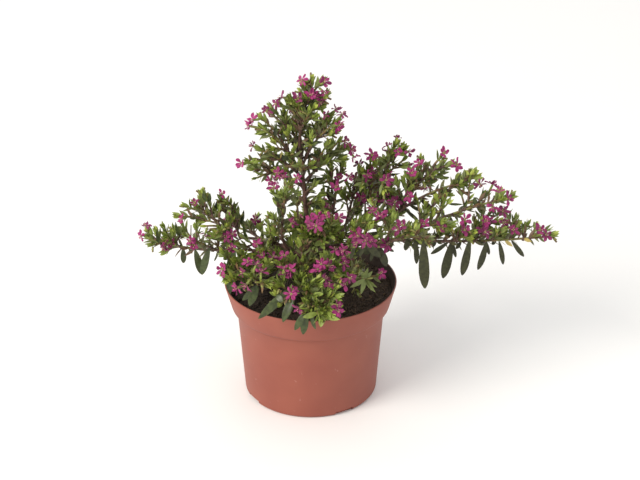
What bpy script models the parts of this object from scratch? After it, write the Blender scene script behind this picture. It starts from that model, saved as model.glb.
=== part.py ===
# A cuphea shrub in its nursery pot: the pot, its soil, the main stem, the boughs
# that leave the stem low down, and the masses of foliage that grow from them.
# Metres, +Z up. From the front, looking along +Y, +X is to the right.
# The origin is the middle of the pot's flat underside.

import math
import random
from typing import NamedTuple

import bmesh
import bpy
import numpy as np
from mathutils import Matrix, Vector

UP = Vector((0.0, 0.0, 1.0))
AWAY = Vector((0.0, 1.0, 0.0))
# Touching pieces are built this far apart.
GAP = 0.0003
MERGE = 0.00001

# The pot: a tapering wall under a wider collar, with four drain notches in its foot.
POT_HEIGHT = 0.0734
RIM_RADIUS = 0.0520
COLLAR_HEIGHT = 0.0154
COLLAR_FOOT_RADIUS = 0.0480
WALL_TOP_RADIUS = 0.0448
BASE_RADIUS = 0.0408
WALL = 0.0010
FLOOR = 0.0014
RIM_ROUND = 0.0004
FOOT_ROUND = 0.0022
ROUND_STEPS = 3
SHOULDER_DROP = 0.0016
POT_STEPS = 32
NOTCH_WIDTH = 0.012
NOTCH_HEIGHT = 0.0025
NOTCH_DEPTH = 0.010
NOTCH_OUTSIDE = 0.0025
FIRST_NOTCH = 30
NOTCHES = 4

# The soil fills the pot to just under its rim.
SOIL_TOP = 0.0675

# The main stem: a flare at the soil, a slight lean, a long taper.
STEM_LEAN = 176
STEM_RISE = 86.2
STEM_LENGTH = 0.0954
STEM_ARCH = 0.0008
FLARE_RADIUS = 0.0031
FLARE_FADE = 0.004
STEM_FOOT_RADIUS = 0.0017
STEM_TIP_RADIUS = 0.0009
STEM_SPANS = 12
STEM_ROUNDNESS = 2

# Boughs taper between these radii, and so do the stems and side shoots of the masses.
BOUGH_FOOT_RADIUS = 0.0012
BOUGH_TIP_RADIUS = 0.0008
BOUGH_SPANS = 4
BOUGH_ROUNDNESS = 1
SHOOT_FOOT_RADIUS = 0.0009
SHOOT_TIP_RADIUS = 0.0006
SHOOT_SPANS = 3
SHOOT_ROUNDNESS = 0
TWIG_SIDES = 3
TWIG_RADIUS = 0.00055
TWIG_TAPER = 0.7

# How finely a stem is moved up to its limb, and how far off it starts at most.
SEAT_ROUNDS = 16
SEAT_REACH = 0.02
SEAT_POINTS = 12

# Leaves and flowers, a little larger than life because there are fewer.
# A leaf is flat above and keeled along its midrib below.
LEAF_SIDES = 3
LEAF_WIDTH_SHARE = 0.40
LEAF_THICKNESS_SHARE = 0.05
LEAF_WIDEST = 0.42
ROOT_DEPTH = 0.0001
PAIR_STAGGER = 0.0007
LEAF_SPREAD = 48
LEAF_SPACING = 0.0075
TIP_LEAF_SPREAD = 26
OLD_LEAF = 0.0165
YOUNG_LEAF = 0.0105
HANGING_WIDTH_SHARE = 0.22
HANGING_LEAN = 0.08
# The last hanging leaf is shorter by this share, and this many spacings from the tip.
HANGING_FADE = 0.6
HANGING_END = 0.6
# A shoot goes on past its last pair of leaves by this share of their spacing.
TUFT_END = 0.25
FLOWER_RADIUS = 0.0045
FLOWER_LENGTH = 0.0070
FLOWER_WIDEST = 0.85
FLOWER_SPREAD = 55
FLOWER_SIDES = 6
FLOWER_NECK = 0.33
FLOWER_FROM = 0.80
FLOWER_TO = 0.92

# Each mass keeps to the space that is nearest its own twigs, by half of this.
SPACE_MARGIN = 0.0014
LIMB_CLEARANCE = 0.0012
TWIG_CLEARANCE = 0.0034
POT_CLEARANCE = 0.0012
LEAF_CLEARANCE = 0.0015
LEAF_SAMPLES = 7
ROOT_SAMPLES = 2


class Bough(NamedTuple):
    """A limb that leaves the main stem at a height, in degrees and metres."""

    height: float
    azimuth: float
    rise: float
    length: float
    arch: float


class Mass(NamedTuple):
    """A mass of foliage: its stem, then what the stem carries."""

    limb: str
    share: float
    azimuth: float
    rise: float
    length: float
    arch: float
    pairs: int
    longest: float
    shortest: float
    roll: float
    flowers: float
    hanging: int = 0
    hanging_leaf: float = 0.0


# Azimuth 0 is to the right, 90 to the back, 180 to the left and 270 to the front.
BOUGHS = {
    "left": Bough(0.080, 185, 18, 0.045, 0.004),
    "left_back": Bough(0.086, 159, 9, 0.043, 0.004),
    "front_upright": Bough(0.084, 236, 45, 0.037, -0.003),
    "right_upright": Bough(0.096, 30, 45, 0.021, -0.002),
    "right_high": Bough(0.0925, 44, 14, 0.035, -0.003),
    "right": Bough(0.086, 10, 26, 0.056, 0.003),
    "right_low": Bough(0.080, 352, 22, 0.058, 0.006),
    "right_front": Bough(0.0835, 329, 26, 0.047, 0.003),
    "front_high": Bough(0.087, 309, 32, 0.040, 0.003),
    "front_right": Bough(0.0775, 297, 12, 0.032, 0.003),
    "right_short": Bough(0.0735, 332, 5, 0.025, 0.002),
    "front_left": Bough(0.077, 211, 17, 0.041, 0.004),
    "front_low": Bough(0.0745, 262, 14, 0.033, 0.003),
    "front_middle": Bough(0.0915, 283, 37, 0.026, -0.002),
    "back_left": Bough(0.078, 131, 6, 0.042, 0.003),
    "back": Bough(0.080, 84, 3, 0.036, 0.003),
    "back_right": Bough(0.084, 52, 11, 0.048, 0.003),
}

MASSES = {
    "top": Mass("stem", 1.0, 8, 78, 0.033, 0.001, 4, 0.019, 0.007, 0, 0.5),
    "top_left_low": Mass("stem", 0.70, 172, 17, 0.030, 0.003, 3, 0.014, 0.006, 0, 0.2),
    "top_left": Mass("stem", 0.79, 205, 52, 0.037, 0.003, 4, 0.014, 0.006, 0, 0.2),
    "top_left_high": Mass("stem", 0.89, 146, 48, 0.028, 0.003, 3, 0.012, 0.006, 0, 0.2),
    "top_right_low": Mass("stem", 0.73, 20, 33, 0.030, 0.002, 3, 0.014, 0.007, 0, 0.2),
    "top_right": Mass("stem", 0.85, 345, 53, 0.032, 0.003, 3, 0.015, 0.006, 0, 0.2),
    "top_back": Mass("stem", 0.82, 95, 45, 0.034, 0.003, 3, 0.014, 0.007, 0, 0.2),
    "top_front": Mass("stem", 0.76, 265, 38, 0.024, 0.002, 2, 0.011, 0.007, 0, 0.2),
    "middle": Mass("stem", 0.38, 258, 34, 0.019, 0.002, 3, 0.014, 0.007, 30, 0.4),
    "left": Mass("left", 1.0, 181, 9, 0.050, -0.003, 4, 0.026, 0.007, 45, 0.4, 3, 0.017),
    "left_high": Mass("left", 0.9, 166, 45, 0.036, 0.002, 3, 0.014, 0.006, 0, 0.3),
    "left_middle": Mass("left", 0.62, 160, 72, 0.008, 0.001, 1, 0.010, 0.010, 20, 0.5),
    "left_back": Mass("left_back", 1.0, 165, 58, 0.020, 0.002, 3, 0.009, 0.006, 0, 0.2),
    "front_upright": Mass("front_upright", 1.0, 300, 80, 0.030, 0.001, 3, 0.012, 0.007, 20, 0.3),
    "right_upright": Mass("right_upright", 1.0, 5, 80, 0.032, 0.001, 3, 0.015, 0.007, 10, 0.3),
    "right_high": Mass("right_high", 1.0, 6, 50, 0.048, 0.003, 4, 0.018, 0.007, 0, 0.3),
    "right_inner": Mass("right_high", 0.86, 345, 74, 0.034, 0.001, 3, 0.013, 0.007, 45, 0.3),
    "right": Mass("right", 1.0, 16, 47, 0.039, 0.003, 4, 0.017, 0.007, 0, 0.4),
    "right_middle": Mass("right", 0.88, 358, 28, 0.044, 0.003, 3, 0.016, 0.007, 0, 0.4),
    "right_outer": Mass("right_low", 0.86, 4, 20, 0.069, 0.003, 5, 0.018, 0.008, 0, 0.4),
    "right_low": Mass("right_low", 1.0, 1, 1, 0.087, -0.002, 6, 0.018, 0.008, 45, 0.4, 6, 0.032),
    "right_front": Mass("right_front", 1.0, 346, 20, 0.032, 0.003, 3, 0.015, 0.008, 45, 0.5),
    "front_high": Mass("front_high", 1.0, 300, 36, 0.022, 0.002, 3, 0.015, 0.008, 45, 0.5),
    "front_right": Mass("front_right", 1.0, 298, 42, 0.022, 0.002, 3, 0.014, 0.008, 45, 0.5),
    "right_short": Mass("right_short", 1.0, 322, 42, 0.014, 0.001, 2, 0.010, 0.008, 45, 0.3),
    "front_left": Mass("front_left", 1.0, 212, 12, 0.015, 0.002, 3, 0.016, 0.008, 45, 0.5),
    "front_left_inner": Mass("front_left", 0.5, 240, 42, 0.020, 0.001, 3, 0.014, 0.008, 45, 0.5),
    "front_left_low": Mass("front_left", 0.86, 272, 8, 0.026, 0.001, 4, 0.017, 0.008, 45, 0.4, 2, 0.020),
    "front_inner": Mass("front_low", 0.45, 250, 42, 0.019, 0.001, 3, 0.014, 0.008, 45, 0.5),
    "front_low": Mass("front_low", 1.0, 296, 6, 0.027, 0.001, 4, 0.015, 0.008, 45, 0.4, 3, 0.016),
    "front_low_left": Mass("front_low", 0.86, 246, 9, 0.025, 0.001, 4, 0.015, 0.008, 45, 0.4, 3, 0.020),
    "front_middle": Mass("front_middle", 1.0, 292, 50, 0.018, 0.001, 3, 0.014, 0.008, 20, 0.4),
    "back_left": Mass("back_left", 1.0, 143, 5, 0.026, 0.002, 3, 0.018, 0.008, 45, 0.3),
    "back": Mass("back", 1.0, 92, 8, 0.026, 0.002, 3, 0.017, 0.008, 45, 0.2),
    "back_right": Mass("back_right", 1.0, 36, 20, 0.030, 0.002, 3, 0.018, 0.008, 45, 0.2),
}

# How side shoots stand on a mass's stem.
FIRST_PAIR = 0.18
LAST_PAIR = 0.84
SHOOT_SPREAD = 46
SHOOT_LIFT = 0.25
LOWEST_SHOOT = -0.15
ROLL_JITTER = 14
LENGTH_JITTER = 0.12
LEAF_SEED = 1000

POT_COLOUR = (0.42, 0.13, 0.095, 1.0)
SOIL_COLOUR = (0.018, 0.014, 0.011, 1.0)
BARK_COLOUR = (0.060, 0.028, 0.022, 1.0)
FOLIAGE_COLOUR = (0.075, 0.120, 0.030, 1.0)


def heading(azimuth, rise):
    """Unit vector for a compass azimuth and a rise over the horizontal, in degrees."""
    flat = math.cos(math.radians(rise))
    turn = math.radians(azimuth)
    return Vector((flat * math.cos(turn), flat * math.sin(turn), math.sin(math.radians(rise))))


def bowed_path(start, way, length, arch, spans):
    """Points along a chord that bows upwards by arch in its middle."""
    side = way.cross(UP)
    bow = side.cross(way).normalized() if side.length > MERGE else Vector((1.0, 0.0, 0.0))
    shares = [step / spans for step in range(spans + 1)]
    return [start + way * length * t + bow * 4 * arch * t * (1 - t) for t in shares]


def place_on(path, share):
    """The point at a share of a path's length, and the path's direction there."""
    spans = len(path) - 1
    span = min(int(share * spans), spans - 1)
    step = path[span + 1] - path[span]
    return path[span] + step * (share * spans - span), step.normalized()


def radius_on(radii, share):
    """The radius at a share of a limb's length."""
    spans = len(radii) - 1
    span = min(int(share * spans), spans - 1)
    return radii[span] + (radii[span + 1] - radii[span]) * (share * spans - span)


def end_rim(way, radius):
    """Points round the end face of a stem that starts at the origin."""
    side = way.orthogonal().normalized() * radius
    turns = [math.tau / SEAT_POINTS * step for step in range(SEAT_POINTS)]
    return [Matrix.Rotation(turn, 3, way) @ side for turn in turns]


def seated(path, way, own_radius, limb, share):
    """Moves a stem's path, built at the origin, until its end is one gap clear of its limb."""
    limb_path, radii = limb
    point, along = place_on(limb_path, share)
    radius = radius_on(radii, share)
    rim = end_rim((path[1] - path[0]).normalized(), own_radius)
    near = 0.0
    far = SEAT_REACH
    for _ in range(SEAT_ROUNDS):
        middle = (near + far) / 2
        gaps = []
        for spot in rim:
            offset = spot + way * middle
            beyond = offset.dot(along)
            outside = max((offset - along * beyond).length - radius, 0.0)
            past_tip = max(beyond, 0.0) if share >= 1.0 else 0.0
            gaps.append(math.hypot(outside, past_tip))
        if min(gaps) > GAP:
            far = middle
        else:
            near = middle
    return [point + way * far + step for step in path]


def taper(foot, tip, spans):
    return [foot + (tip - foot) * step / spans for step in range(spans + 1)]


def main_stem_path():
    start = Vector((0.0, 0.0, SOIL_TOP + GAP))
    return bowed_path(start, heading(STEM_LEAN, STEM_RISE), STEM_LENGTH, STEM_ARCH, STEM_SPANS)


def main_stem_radii():
    """Taper of the main stem, widened where it meets the soil."""
    radii = taper(STEM_FOOT_RADIUS, STEM_TIP_RADIUS, STEM_SPANS)
    span = STEM_LENGTH / STEM_SPANS
    flare = FLARE_RADIUS - STEM_FOOT_RADIUS
    return [radius + flare * math.exp(-span * step / FLARE_FADE) for step, radius in enumerate(radii)]


def bough_path(bough, stem):
    share = (bough.height - SOIL_TOP) / (stem[0][-1].z - SOIL_TOP)
    way = heading(bough.azimuth, bough.rise)
    path = bowed_path(Vector(), way, bough.length, bough.arch, BOUGH_SPANS)
    return seated(path, way, BOUGH_FOOT_RADIUS, stem, share)


def mass_stem(mass, limbs):
    """Path of the stem of a mass, from its bough or the main stem."""
    way = heading(mass.azimuth, mass.rise)
    path = bowed_path(Vector(), way, mass.length, mass.arch, SHOOT_SPANS)
    return seated(path, way, SHOOT_FOOT_RADIUS, limbs[mass.limb], mass.share)


def side_shoots(mass, stem, rng):
    """Side shoots in pairs that cross each other, shorter towards the tip of the stem."""
    shoots = []
    for pair in range(mass.pairs):
        way_up = pair / max(mass.pairs - 1, 1)
        point, along = place_on(stem, FIRST_PAIR + (LAST_PAIR - FIRST_PAIR) * way_up)
        level = along.cross(UP).normalized()
        for side in range(2):
            roll = math.radians(mass.roll + 90 * pair + 180 * side + rng.uniform(-1, 1) * ROLL_JITTER)
            length = mass.longest + (mass.shortest - mass.longest) * way_up
            length *= 1 + rng.uniform(-1, 1) * LENGTH_JITTER
            outward = Matrix.Rotation(roll, 3, along) @ level
            spread = math.radians(SHOOT_SPREAD)
            way = (along * math.cos(spread) + outward * math.sin(spread) + UP * SHOOT_LIFT).normalized()
            if way.z > LOWEST_SHOOT:
                shoots.append((point, point + way * length))
    return shoots


def hanging_leaves(mass, stem):
    """The old leaves that hang down from a stem, shorter towards its tip."""
    leaves = []
    for leaf in range(mass.hanging):
        point, along = place_on(stem, (leaf + 1) / (mass.hanging + HANGING_END))
        way = (-UP - along * HANGING_LEAN).normalized()
        length = mass.hanging_leaf * (1 - HANGING_FADE * leaf / max(mass.hanging - 1, 1))
        leaves.append((point, point + way * length))
    return leaves


def segment_distances(points, starts, ends):
    """Distance from each point to each straight segment, as an array."""
    spans = ends - starts
    offsets = points[:, None, :] - starts[None, :, :]
    shares = (offsets * spans).sum(-1) / (spans * spans).sum(-1)
    nearest = np.clip(shares, 0.0, 1.0)[..., None] * spans
    return np.linalg.norm(offsets - nearest, axis=-1)


class Skeleton:
    """Every limb and twig of the plant as segments, each with its owner and radius."""

    def __init__(self):
        self.owners = []
        self.starts = []
        self.ends = []
        self.radii = []
        self.blades = []

    def add_path(self, owner, path, radii):
        for start, end, radius in zip(path[:-1], path[1:], radii):
            self.owners.append(owner)
            self.starts.append(start)
            self.ends.append(end)
            self.radii.append(radius)

    def measure(self, points):
        spots = np.array([tuple(point) for point in points])
        starts = np.array([tuple(start) for start in self.starts])
        ends = np.array([tuple(end) for end in self.ends])
        return segment_distances(spots, starts, ends)

    def twig_is_clear(self, owner, points):
        """Whether a new side shoot stays clear of every limb and other mass."""
        away = self.measure(points)
        others = np.array([name != owner for name in self.owners])
        return (away[:, others] > TWIG_CLEARANCE).all()

    def keep_clear(self, owner, lines):
        """Takes up the shoots or hanging leaves that are clear of the rest, and gives them back."""
        kept = []
        for start, end in lines:
            points = [start + (end - start) * step / LEAF_SAMPLES for step in range(LEAF_SAMPLES + 1)]
            if self.twig_is_clear(owner, points) and clear_of_pot(points):
                kept.append((start, end))
                self.add_path(owner, (start, end), [TWIG_RADIUS])
        return kept

    def in_own_space(self, owner, points):
        """Whether points are nearer their own mass than any other, and off the limbs."""
        away = self.measure(points)
        own = np.array([name == owner for name in self.owners])
        limb = np.array([name.startswith("limb") for name in self.owners])
        other = ~own & ~limb
        nearest_own = away[:, own].min(axis=1)
        clear_of_masses = (nearest_own + SPACE_MARGIN < away[:, other].min(axis=1)).all()
        limb_gaps = away[:, limb] - np.array(self.radii)[limb]
        return clear_of_masses and (limb_gaps > LIMB_CLEARANCE).all()

    def blade_is_clear(self, owner, points):
        """Whether the outer part of a leaf stays off the twigs and leaves of its own mass."""
        own = np.array([name == owner for name in self.owners])
        if self.measure(points)[:, own].min() < LEAF_CLEARANCE:
            return False
        spots = np.array([tuple(point) for point in points])
        blades = np.array([blade for name, *blade in self.blades if name == owner])
        if not len(blades):
            return True
        return segment_distances(spots, blades[:, 0], blades[:, 1]).min() > LEAF_CLEARANCE


def clear_of_pot(points):
    """Whether points keep off the pot's rim and wall, and above the soil inside it."""
    for point in points:
        out = math.hypot(point.x, point.y)
        over_rim = point.z > POT_HEIGHT + POT_CLEARANCE
        inside = out < WALL_TOP_RADIUS and point.z > SOIL_TOP + POT_CLEARANCE
        outside = out > RIM_RADIUS + POT_CLEARANCE
        if not (over_rim or inside or outside):
            return False
    return True


def twig_mesh(name):
    """A tapering twig 1 long, 1 in radius at its foot, which is at the origin."""
    mesh = bpy.data.meshes.new(name)
    bm = bmesh.new()
    bmesh.ops.create_cone(
        bm, cap_ends=True, segments=TWIG_SIDES, radius1=1.0, radius2=TWIG_TAPER, depth=1.0,
        matrix=Matrix.Translation((0.0, 0.0, 0.5)),
    )
    bm.to_mesh(mesh)
    bm.free()
    return mesh


def spindle_mesh(name, sides, widest):
    """A shape 1 long and 1 across, pointed at both ends, its root at the origin."""
    mesh = bpy.data.meshes.new(name)
    bm = bmesh.new()
    bmesh.ops.create_uvsphere(bm, u_segments=sides, v_segments=2, radius=0.5)
    for vertex in bm.verts:
        vertex.co.z += 0.5 if abs(vertex.co.z) > MERGE else widest
    bm.to_mesh(mesh)
    bm.free()
    return mesh


def axes_matrix(origin, along, face, width, thickness, length):
    """Places a unit shape with its length along one direction and its face to another."""
    across = face.cross(along).normalized()
    facing = along.cross(across)
    axes = Matrix((across * width, facing * thickness, along * length)).transposed()
    return Matrix.Translation(origin) @ axes.to_4x4()


class Foliage:
    """The twigs, leaves and flowers of one mass, as objects that a union joins."""

    def __init__(self, owner, skeleton, shapes):
        self.owner = owner
        self.skeleton = skeleton
        self.shapes = shapes
        self.helpers = bpy.data.collections.new("joined into " + owner)
        bpy.context.scene.collection.children.link(self.helpers)

    def add(self, shape, matrix):
        helper = bpy.data.objects.new(self.owner + " helper", self.shapes[shape])
        helper.matrix_world = matrix
        self.helpers.objects.link(helper)

    def add_twig(self, start, end):
        way = (end - start).normalized()
        face = way.orthogonal().normalized()
        length = (end - start).length
        self.add("twig", axes_matrix(start, way, face, TWIG_RADIUS, TWIG_RADIUS, length))

    def add_leaf(self, point, way, face, length, width):
        """Adds a leaf whose root is sunk through its twig, unless it would leave its space."""
        across = face.cross(way).normalized() * width / 2
        ribs = [point + way * length * step / LEAF_SAMPLES for step in range(1, LEAF_SAMPLES + 1)]
        middle = point + way * length * LEAF_WIDEST
        samples = ribs + [middle + across, middle - across]
        if not clear_of_pot(samples) or not self.skeleton.in_own_space(self.owner, samples):
            return
        if not self.skeleton.blade_is_clear(self.owner, samples[ROOT_SAMPLES:]):
            return
        self.skeleton.blades.append((self.owner, tuple(ribs[0]), tuple(ribs[-1])))
        root = point - way * ROOT_DEPTH
        thickness = length * LEAF_THICKNESS_SHARE
        self.add("leaf", axes_matrix(root, way, -face, width, thickness, length + ROOT_DEPTH))

    def add_pair(self, point, along, roll, length, spread):
        """Adds two opposite leaves on a twig."""
        first = Matrix.Rotation(roll, 3, along) @ along.orthogonal().normalized()
        lean = math.radians(spread)
        for step, outward in enumerate((first, -first)):
            way = along * math.cos(lean) + outward * math.sin(lean)
            face = along * math.sin(lean) - outward * math.cos(lean)
            node = point - along * PAIR_STAGGER * step
            self.add_leaf(node, way, face, length, length * LEAF_WIDTH_SHARE)

    def add_flower(self, point, way):
        """Adds a flower, unless its mouth would leave the mass's space."""
        side = way.orthogonal().normalized() * FLOWER_RADIUS
        mouth = point + way * FLOWER_LENGTH
        turns = [math.tau / FLOWER_SIDES * step for step in range(FLOWER_SIDES)]
        samples = [mouth] + [mouth + Matrix.Rotation(turn, 3, way) @ side for turn in turns]
        if not clear_of_pot(samples) or not self.skeleton.in_own_space(self.owner, samples):
            return
        if not self.skeleton.blade_is_clear(self.owner, samples):
            return
        neck = point.lerp(mouth, FLOWER_NECK)
        self.skeleton.blades.append((self.owner, tuple(neck), tuple(mouth)))
        root = point - way * ROOT_DEPTH
        length = FLOWER_LENGTH + ROOT_DEPTH
        self.add("flower", axes_matrix(root, way, side, FLOWER_RADIUS * 2, FLOWER_RADIUS * 2, length))

    def add_hanging_leaf(self, start, end):
        """Adds one of the old leaves that hang from a stem, broad side to the front."""
        way = (end - start).normalized()
        length = (end - start).length
        face = way.cross(way.cross(AWAY)).normalized()
        width = length * HANGING_WIDTH_SHARE
        thickness = length * LEAF_THICKNESS_SHARE
        root = start - way * ROOT_DEPTH
        self.add("leaf", axes_matrix(root, way, face, width, thickness, length + ROOT_DEPTH))


def clothe(foliage, path, foot_leaf, tip_leaf, pairs, rng):
    """Sets pairs of leaves along a shoot, each pair across the last, and a tuft at its tip."""
    roll = rng.uniform(0, math.pi)
    for pair in range(pairs):
        share = (pair + 1) / (pairs + TUFT_END)
        point, along = place_on(path, share)
        length = foot_leaf + (tip_leaf - foot_leaf) * share
        at_tip = pair == pairs - 1
        spread = TIP_LEAF_SPREAD if at_tip else LEAF_SPREAD
        foliage.add_pair(point, along, roll + math.pi / 2 * pair, length, spread)


def flower_near_tip(foliage, path, rng):
    """Sets a flower beside the tip of a shoot."""
    point, along = place_on(path, rng.uniform(FLOWER_FROM, FLOWER_TO))
    turn = Matrix.Rotation(rng.uniform(0, math.tau), 3, along)
    outward = turn @ along.orthogonal().normalized()
    lean = math.radians(FLOWER_SPREAD)
    foliage.add_flower(point, along * math.cos(lean) + outward * math.sin(lean))


def material(name, colour, roughness):
    made = bpy.data.materials.new(name)
    made.use_nodes = True
    shader = made.node_tree.nodes["Principled BSDF"]
    shader.inputs["Base Color"].default_value = colour
    shader.inputs["Roughness"].default_value = roughness
    shader.inputs["Metallic"].default_value = 0.0
    made.diffuse_color = colour
    return made


def add_part(name, mesh, look, parts):
    part = bpy.data.objects.new(name, mesh)
    mesh.materials.clear()
    mesh.materials.append(look)
    parts.objects.link(part)
    return part


def tube_mesh(name, path, radii, resolution):
    """A tapering tube as a closed mesh, from a curve with a round bevel and filled caps."""
    curve = bpy.data.curves.new(name, "CURVE")
    curve.dimensions = "3D"
    curve.bevel_depth = 1.0
    curve.bevel_resolution = resolution
    curve.use_fill_caps = True
    spline = curve.splines.new("POLY")
    spline.points.add(len(path) - 1)
    for spot, place, radius in zip(spline.points, path, radii):
        spot.co = (*place, 1.0)
        spot.radius = radius
    guide = bpy.data.objects.new(name, curve)
    bpy.context.scene.collection.objects.link(guide)
    depsgraph = bpy.context.evaluated_depsgraph_get()
    mesh = bpy.data.meshes.new_from_object(guide.evaluated_get(depsgraph))
    bm = bmesh.new()
    bm.from_mesh(mesh)
    bmesh.ops.remove_doubles(bm, verts=bm.verts, dist=MERGE)
    bmesh.ops.recalc_face_normals(bm, faces=bm.faces)
    bm.to_mesh(mesh)
    bm.free()
    bpy.data.objects.remove(guide)
    return mesh


def turned(name, outline, look, parts):
    """A solid turned about the vertical axis from an outline of (radius, height) points."""
    mesh = bpy.data.meshes.new(name)
    bm = bmesh.new()
    corners = [bm.verts.new((radius, 0.0, height)) for radius, height in outline]
    for first, second in zip(corners[:-1], corners[1:]):
        bm.edges.new((first, second))
    bm.to_mesh(mesh)
    bm.free()
    part = add_part(name, mesh, look, parts)
    screw = part.modifiers.new("Turn", "SCREW")
    screw.steps = POT_STEPS
    screw.render_steps = POT_STEPS
    screw.use_merge_vertices = True
    screw.merge_threshold = MERGE
    return part


def wall_outline(inset):
    """Outer side of the pot from its rim down to its foot, moved inwards by inset."""
    collar_foot = POT_HEIGHT - COLLAR_HEIGHT
    return [
        (RIM_RADIUS - inset, POT_HEIGHT),
        (COLLAR_FOOT_RADIUS - inset, collar_foot + inset),
        (WALL_TOP_RADIUS - inset, collar_foot - SHOULDER_DROP + inset),
        (BASE_RADIUS - inset, FOOT_ROUND),
    ]


def collar_radius(height):
    share = (height - (POT_HEIGHT - COLLAR_HEIGHT)) / COLLAR_HEIGHT
    return COLLAR_FOOT_RADIUS + (RIM_RADIUS - COLLAR_FOOT_RADIUS) * share


def foot_round():
    """Quarter round between the wall and the flat underside."""
    turns = [math.pi / 2 * step / ROUND_STEPS for step in range(1, ROUND_STEPS + 1)]
    middle = BASE_RADIUS - FOOT_ROUND
    return [(middle + FOOT_ROUND * math.cos(t), FOOT_ROUND - FOOT_ROUND * math.sin(t)) for t in turns]


def make_pot(look, parts, cutters):
    """The pot with its collar, rounded rim and foot, and the notches in the foot."""
    inner = [(0.0, FLOOR), (BASE_RADIUS - FOOT_ROUND, FLOOR)] + wall_outline(WALL)[:0:-1]
    rim = [
        (RIM_RADIUS - WALL, POT_HEIGHT - RIM_ROUND),
        (RIM_RADIUS - WALL + RIM_ROUND, POT_HEIGHT),
        (RIM_RADIUS - RIM_ROUND, POT_HEIGHT),
        (RIM_RADIUS, POT_HEIGHT - RIM_ROUND),
    ]
    outer = wall_outline(0.0)[1:] + foot_round() + [(0.0, 0.0)]
    pot = turned("pot", inner + rim + outer, look, parts)
    cut = pot.modifiers.new("Drain notches", "BOOLEAN")
    cut.operation = "DIFFERENCE"
    cut.operand_type = "COLLECTION"
    cut.collection = cutters
    for notch in range(NOTCHES):
        mesh = bpy.data.meshes.new("notch")
        bm = bmesh.new()
        bmesh.ops.create_cube(bm, size=1.0)
        bmesh.ops.scale(bm, verts=bm.verts, vec=(NOTCH_DEPTH, NOTCH_WIDTH, NOTCH_HEIGHT * 2))
        bm.to_mesh(mesh)
        bm.free()
        cutter = bpy.data.objects.new("notch", mesh)
        azimuth = FIRST_NOTCH + 360 / NOTCHES * notch
        cutter.location = heading(azimuth, 0) * (BASE_RADIUS + NOTCH_OUTSIDE)
        cutter.rotation_euler.z = math.radians(azimuth)
        cutter.hide_render = True
        cutter.display_type = "WIRE"
        cutters.objects.link(cutter)
    return pot


def make_soil(look, parts):
    """The plug of soil, one gap clear of the pot, with a flat top under the stem."""
    edge = (collar_radius(SOIL_TOP) - WALL - GAP, SOIL_TOP)
    floor = FLOOR + GAP
    foot = [(BASE_RADIUS - FOOT_ROUND, floor), (0.0, floor)]
    return turned("soil", [(0.0, SOIL_TOP), edge] + wall_outline(WALL + GAP)[1:] + foot, look, parts)


def keep_largest_body(mesh):
    """Drops loose scraps and sealed hollows, which are shells apart from the main one."""
    bm = bmesh.new()
    bm.from_mesh(mesh)
    waiting = set(bm.verts)
    shells = []
    while waiting:
        shell = {waiting.pop()}
        front = list(shell)
        while front:
            vertex = front.pop()
            for edge in vertex.link_edges:
                other = edge.other_vert(vertex)
                if other not in shell:
                    shell.add(other)
                    front.append(other)
        waiting -= shell
        shells.append(shell)
    largest = max(shells, key=len)
    scraps = [vertex for shell in shells if shell is not largest for vertex in shell]
    bmesh.ops.delete(bm, geom=scraps, context="VERTS")
    bm.to_mesh(mesh)
    bm.free()


def join_mass(name, stem, foliage, look, parts):
    """Joins the stem of a mass and all that grows on it into one body."""
    radii = taper(SHOOT_FOOT_RADIUS, SHOOT_TIP_RADIUS, SHOOT_SPANS)
    part = add_part(name, tube_mesh(name, stem, radii, SHOOT_ROUNDNESS), look, parts)
    union = part.modifiers.new("Join", "BOOLEAN")
    union.operation = "UNION"
    union.operand_type = "COLLECTION"
    union.collection = foliage.helpers
    union.solver = "EXACT"
    bpy.context.view_layer.objects.active = part
    bpy.ops.object.modifier_apply(modifier=union.name)
    keep_largest_body(part.data)
    for helper in list(foliage.helpers.objects):
        bpy.data.objects.remove(helper)
    bpy.data.collections.remove(foliage.helpers)
    part.data.materials.clear()
    part.data.materials.append(look)
    return part


def leaf_pairs(length):
    """Pairs of leaves on a side shoot of a length."""
    return max(1, round(length / LEAF_SPACING))


def make_masses(limbs, skeleton, look, parts):
    """Grows every mass's twigs first, so that each knows its space, then its leaves."""
    shapes = {
        "twig": twig_mesh("twig"),
        "leaf": spindle_mesh("leaf", LEAF_SIDES, LEAF_WIDEST),
        "flower": spindle_mesh("flower", FLOWER_SIDES, FLOWER_WIDEST),
    }
    stems = {name: mass_stem(mass, limbs) for name, mass in MASSES.items()}
    for name, stem in stems.items():
        skeleton.add_path(name, stem, [SHOOT_FOOT_RADIUS] * SHOOT_SPANS)
    hanging = {}
    for name, mass in MASSES.items():
        hanging[name] = skeleton.keep_clear(name, hanging_leaves(mass, stems[name]))
    shoots = {}
    for seed, (name, mass) in enumerate(MASSES.items()):
        shoots[name] = skeleton.keep_clear(name, side_shoots(mass, stems[name], random.Random(seed)))
    for seed, (name, mass) in enumerate(MASSES.items()):
        rng = random.Random(LEAF_SEED + seed)
        foliage = Foliage(name, skeleton, shapes)
        flower_near_tip(foliage, stems[name], rng)
        for start, end in shoots[name]:
            foliage.add_twig(start, end)
            if rng.random() < mass.flowers:
                flower_near_tip(foliage, (start, end), rng)
        for start, end in hanging[name]:
            foliage.add_hanging_leaf(start, end)
        clothe(foliage, stems[name], OLD_LEAF, YOUNG_LEAF, mass.pairs, rng)
        for start, end in shoots[name]:
            clothe(foliage, (start, end), OLD_LEAF, YOUNG_LEAF, leaf_pairs((end - start).length), rng)
        join_mass("foliage_" + name, stems[name], foliage, look, parts)


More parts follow.
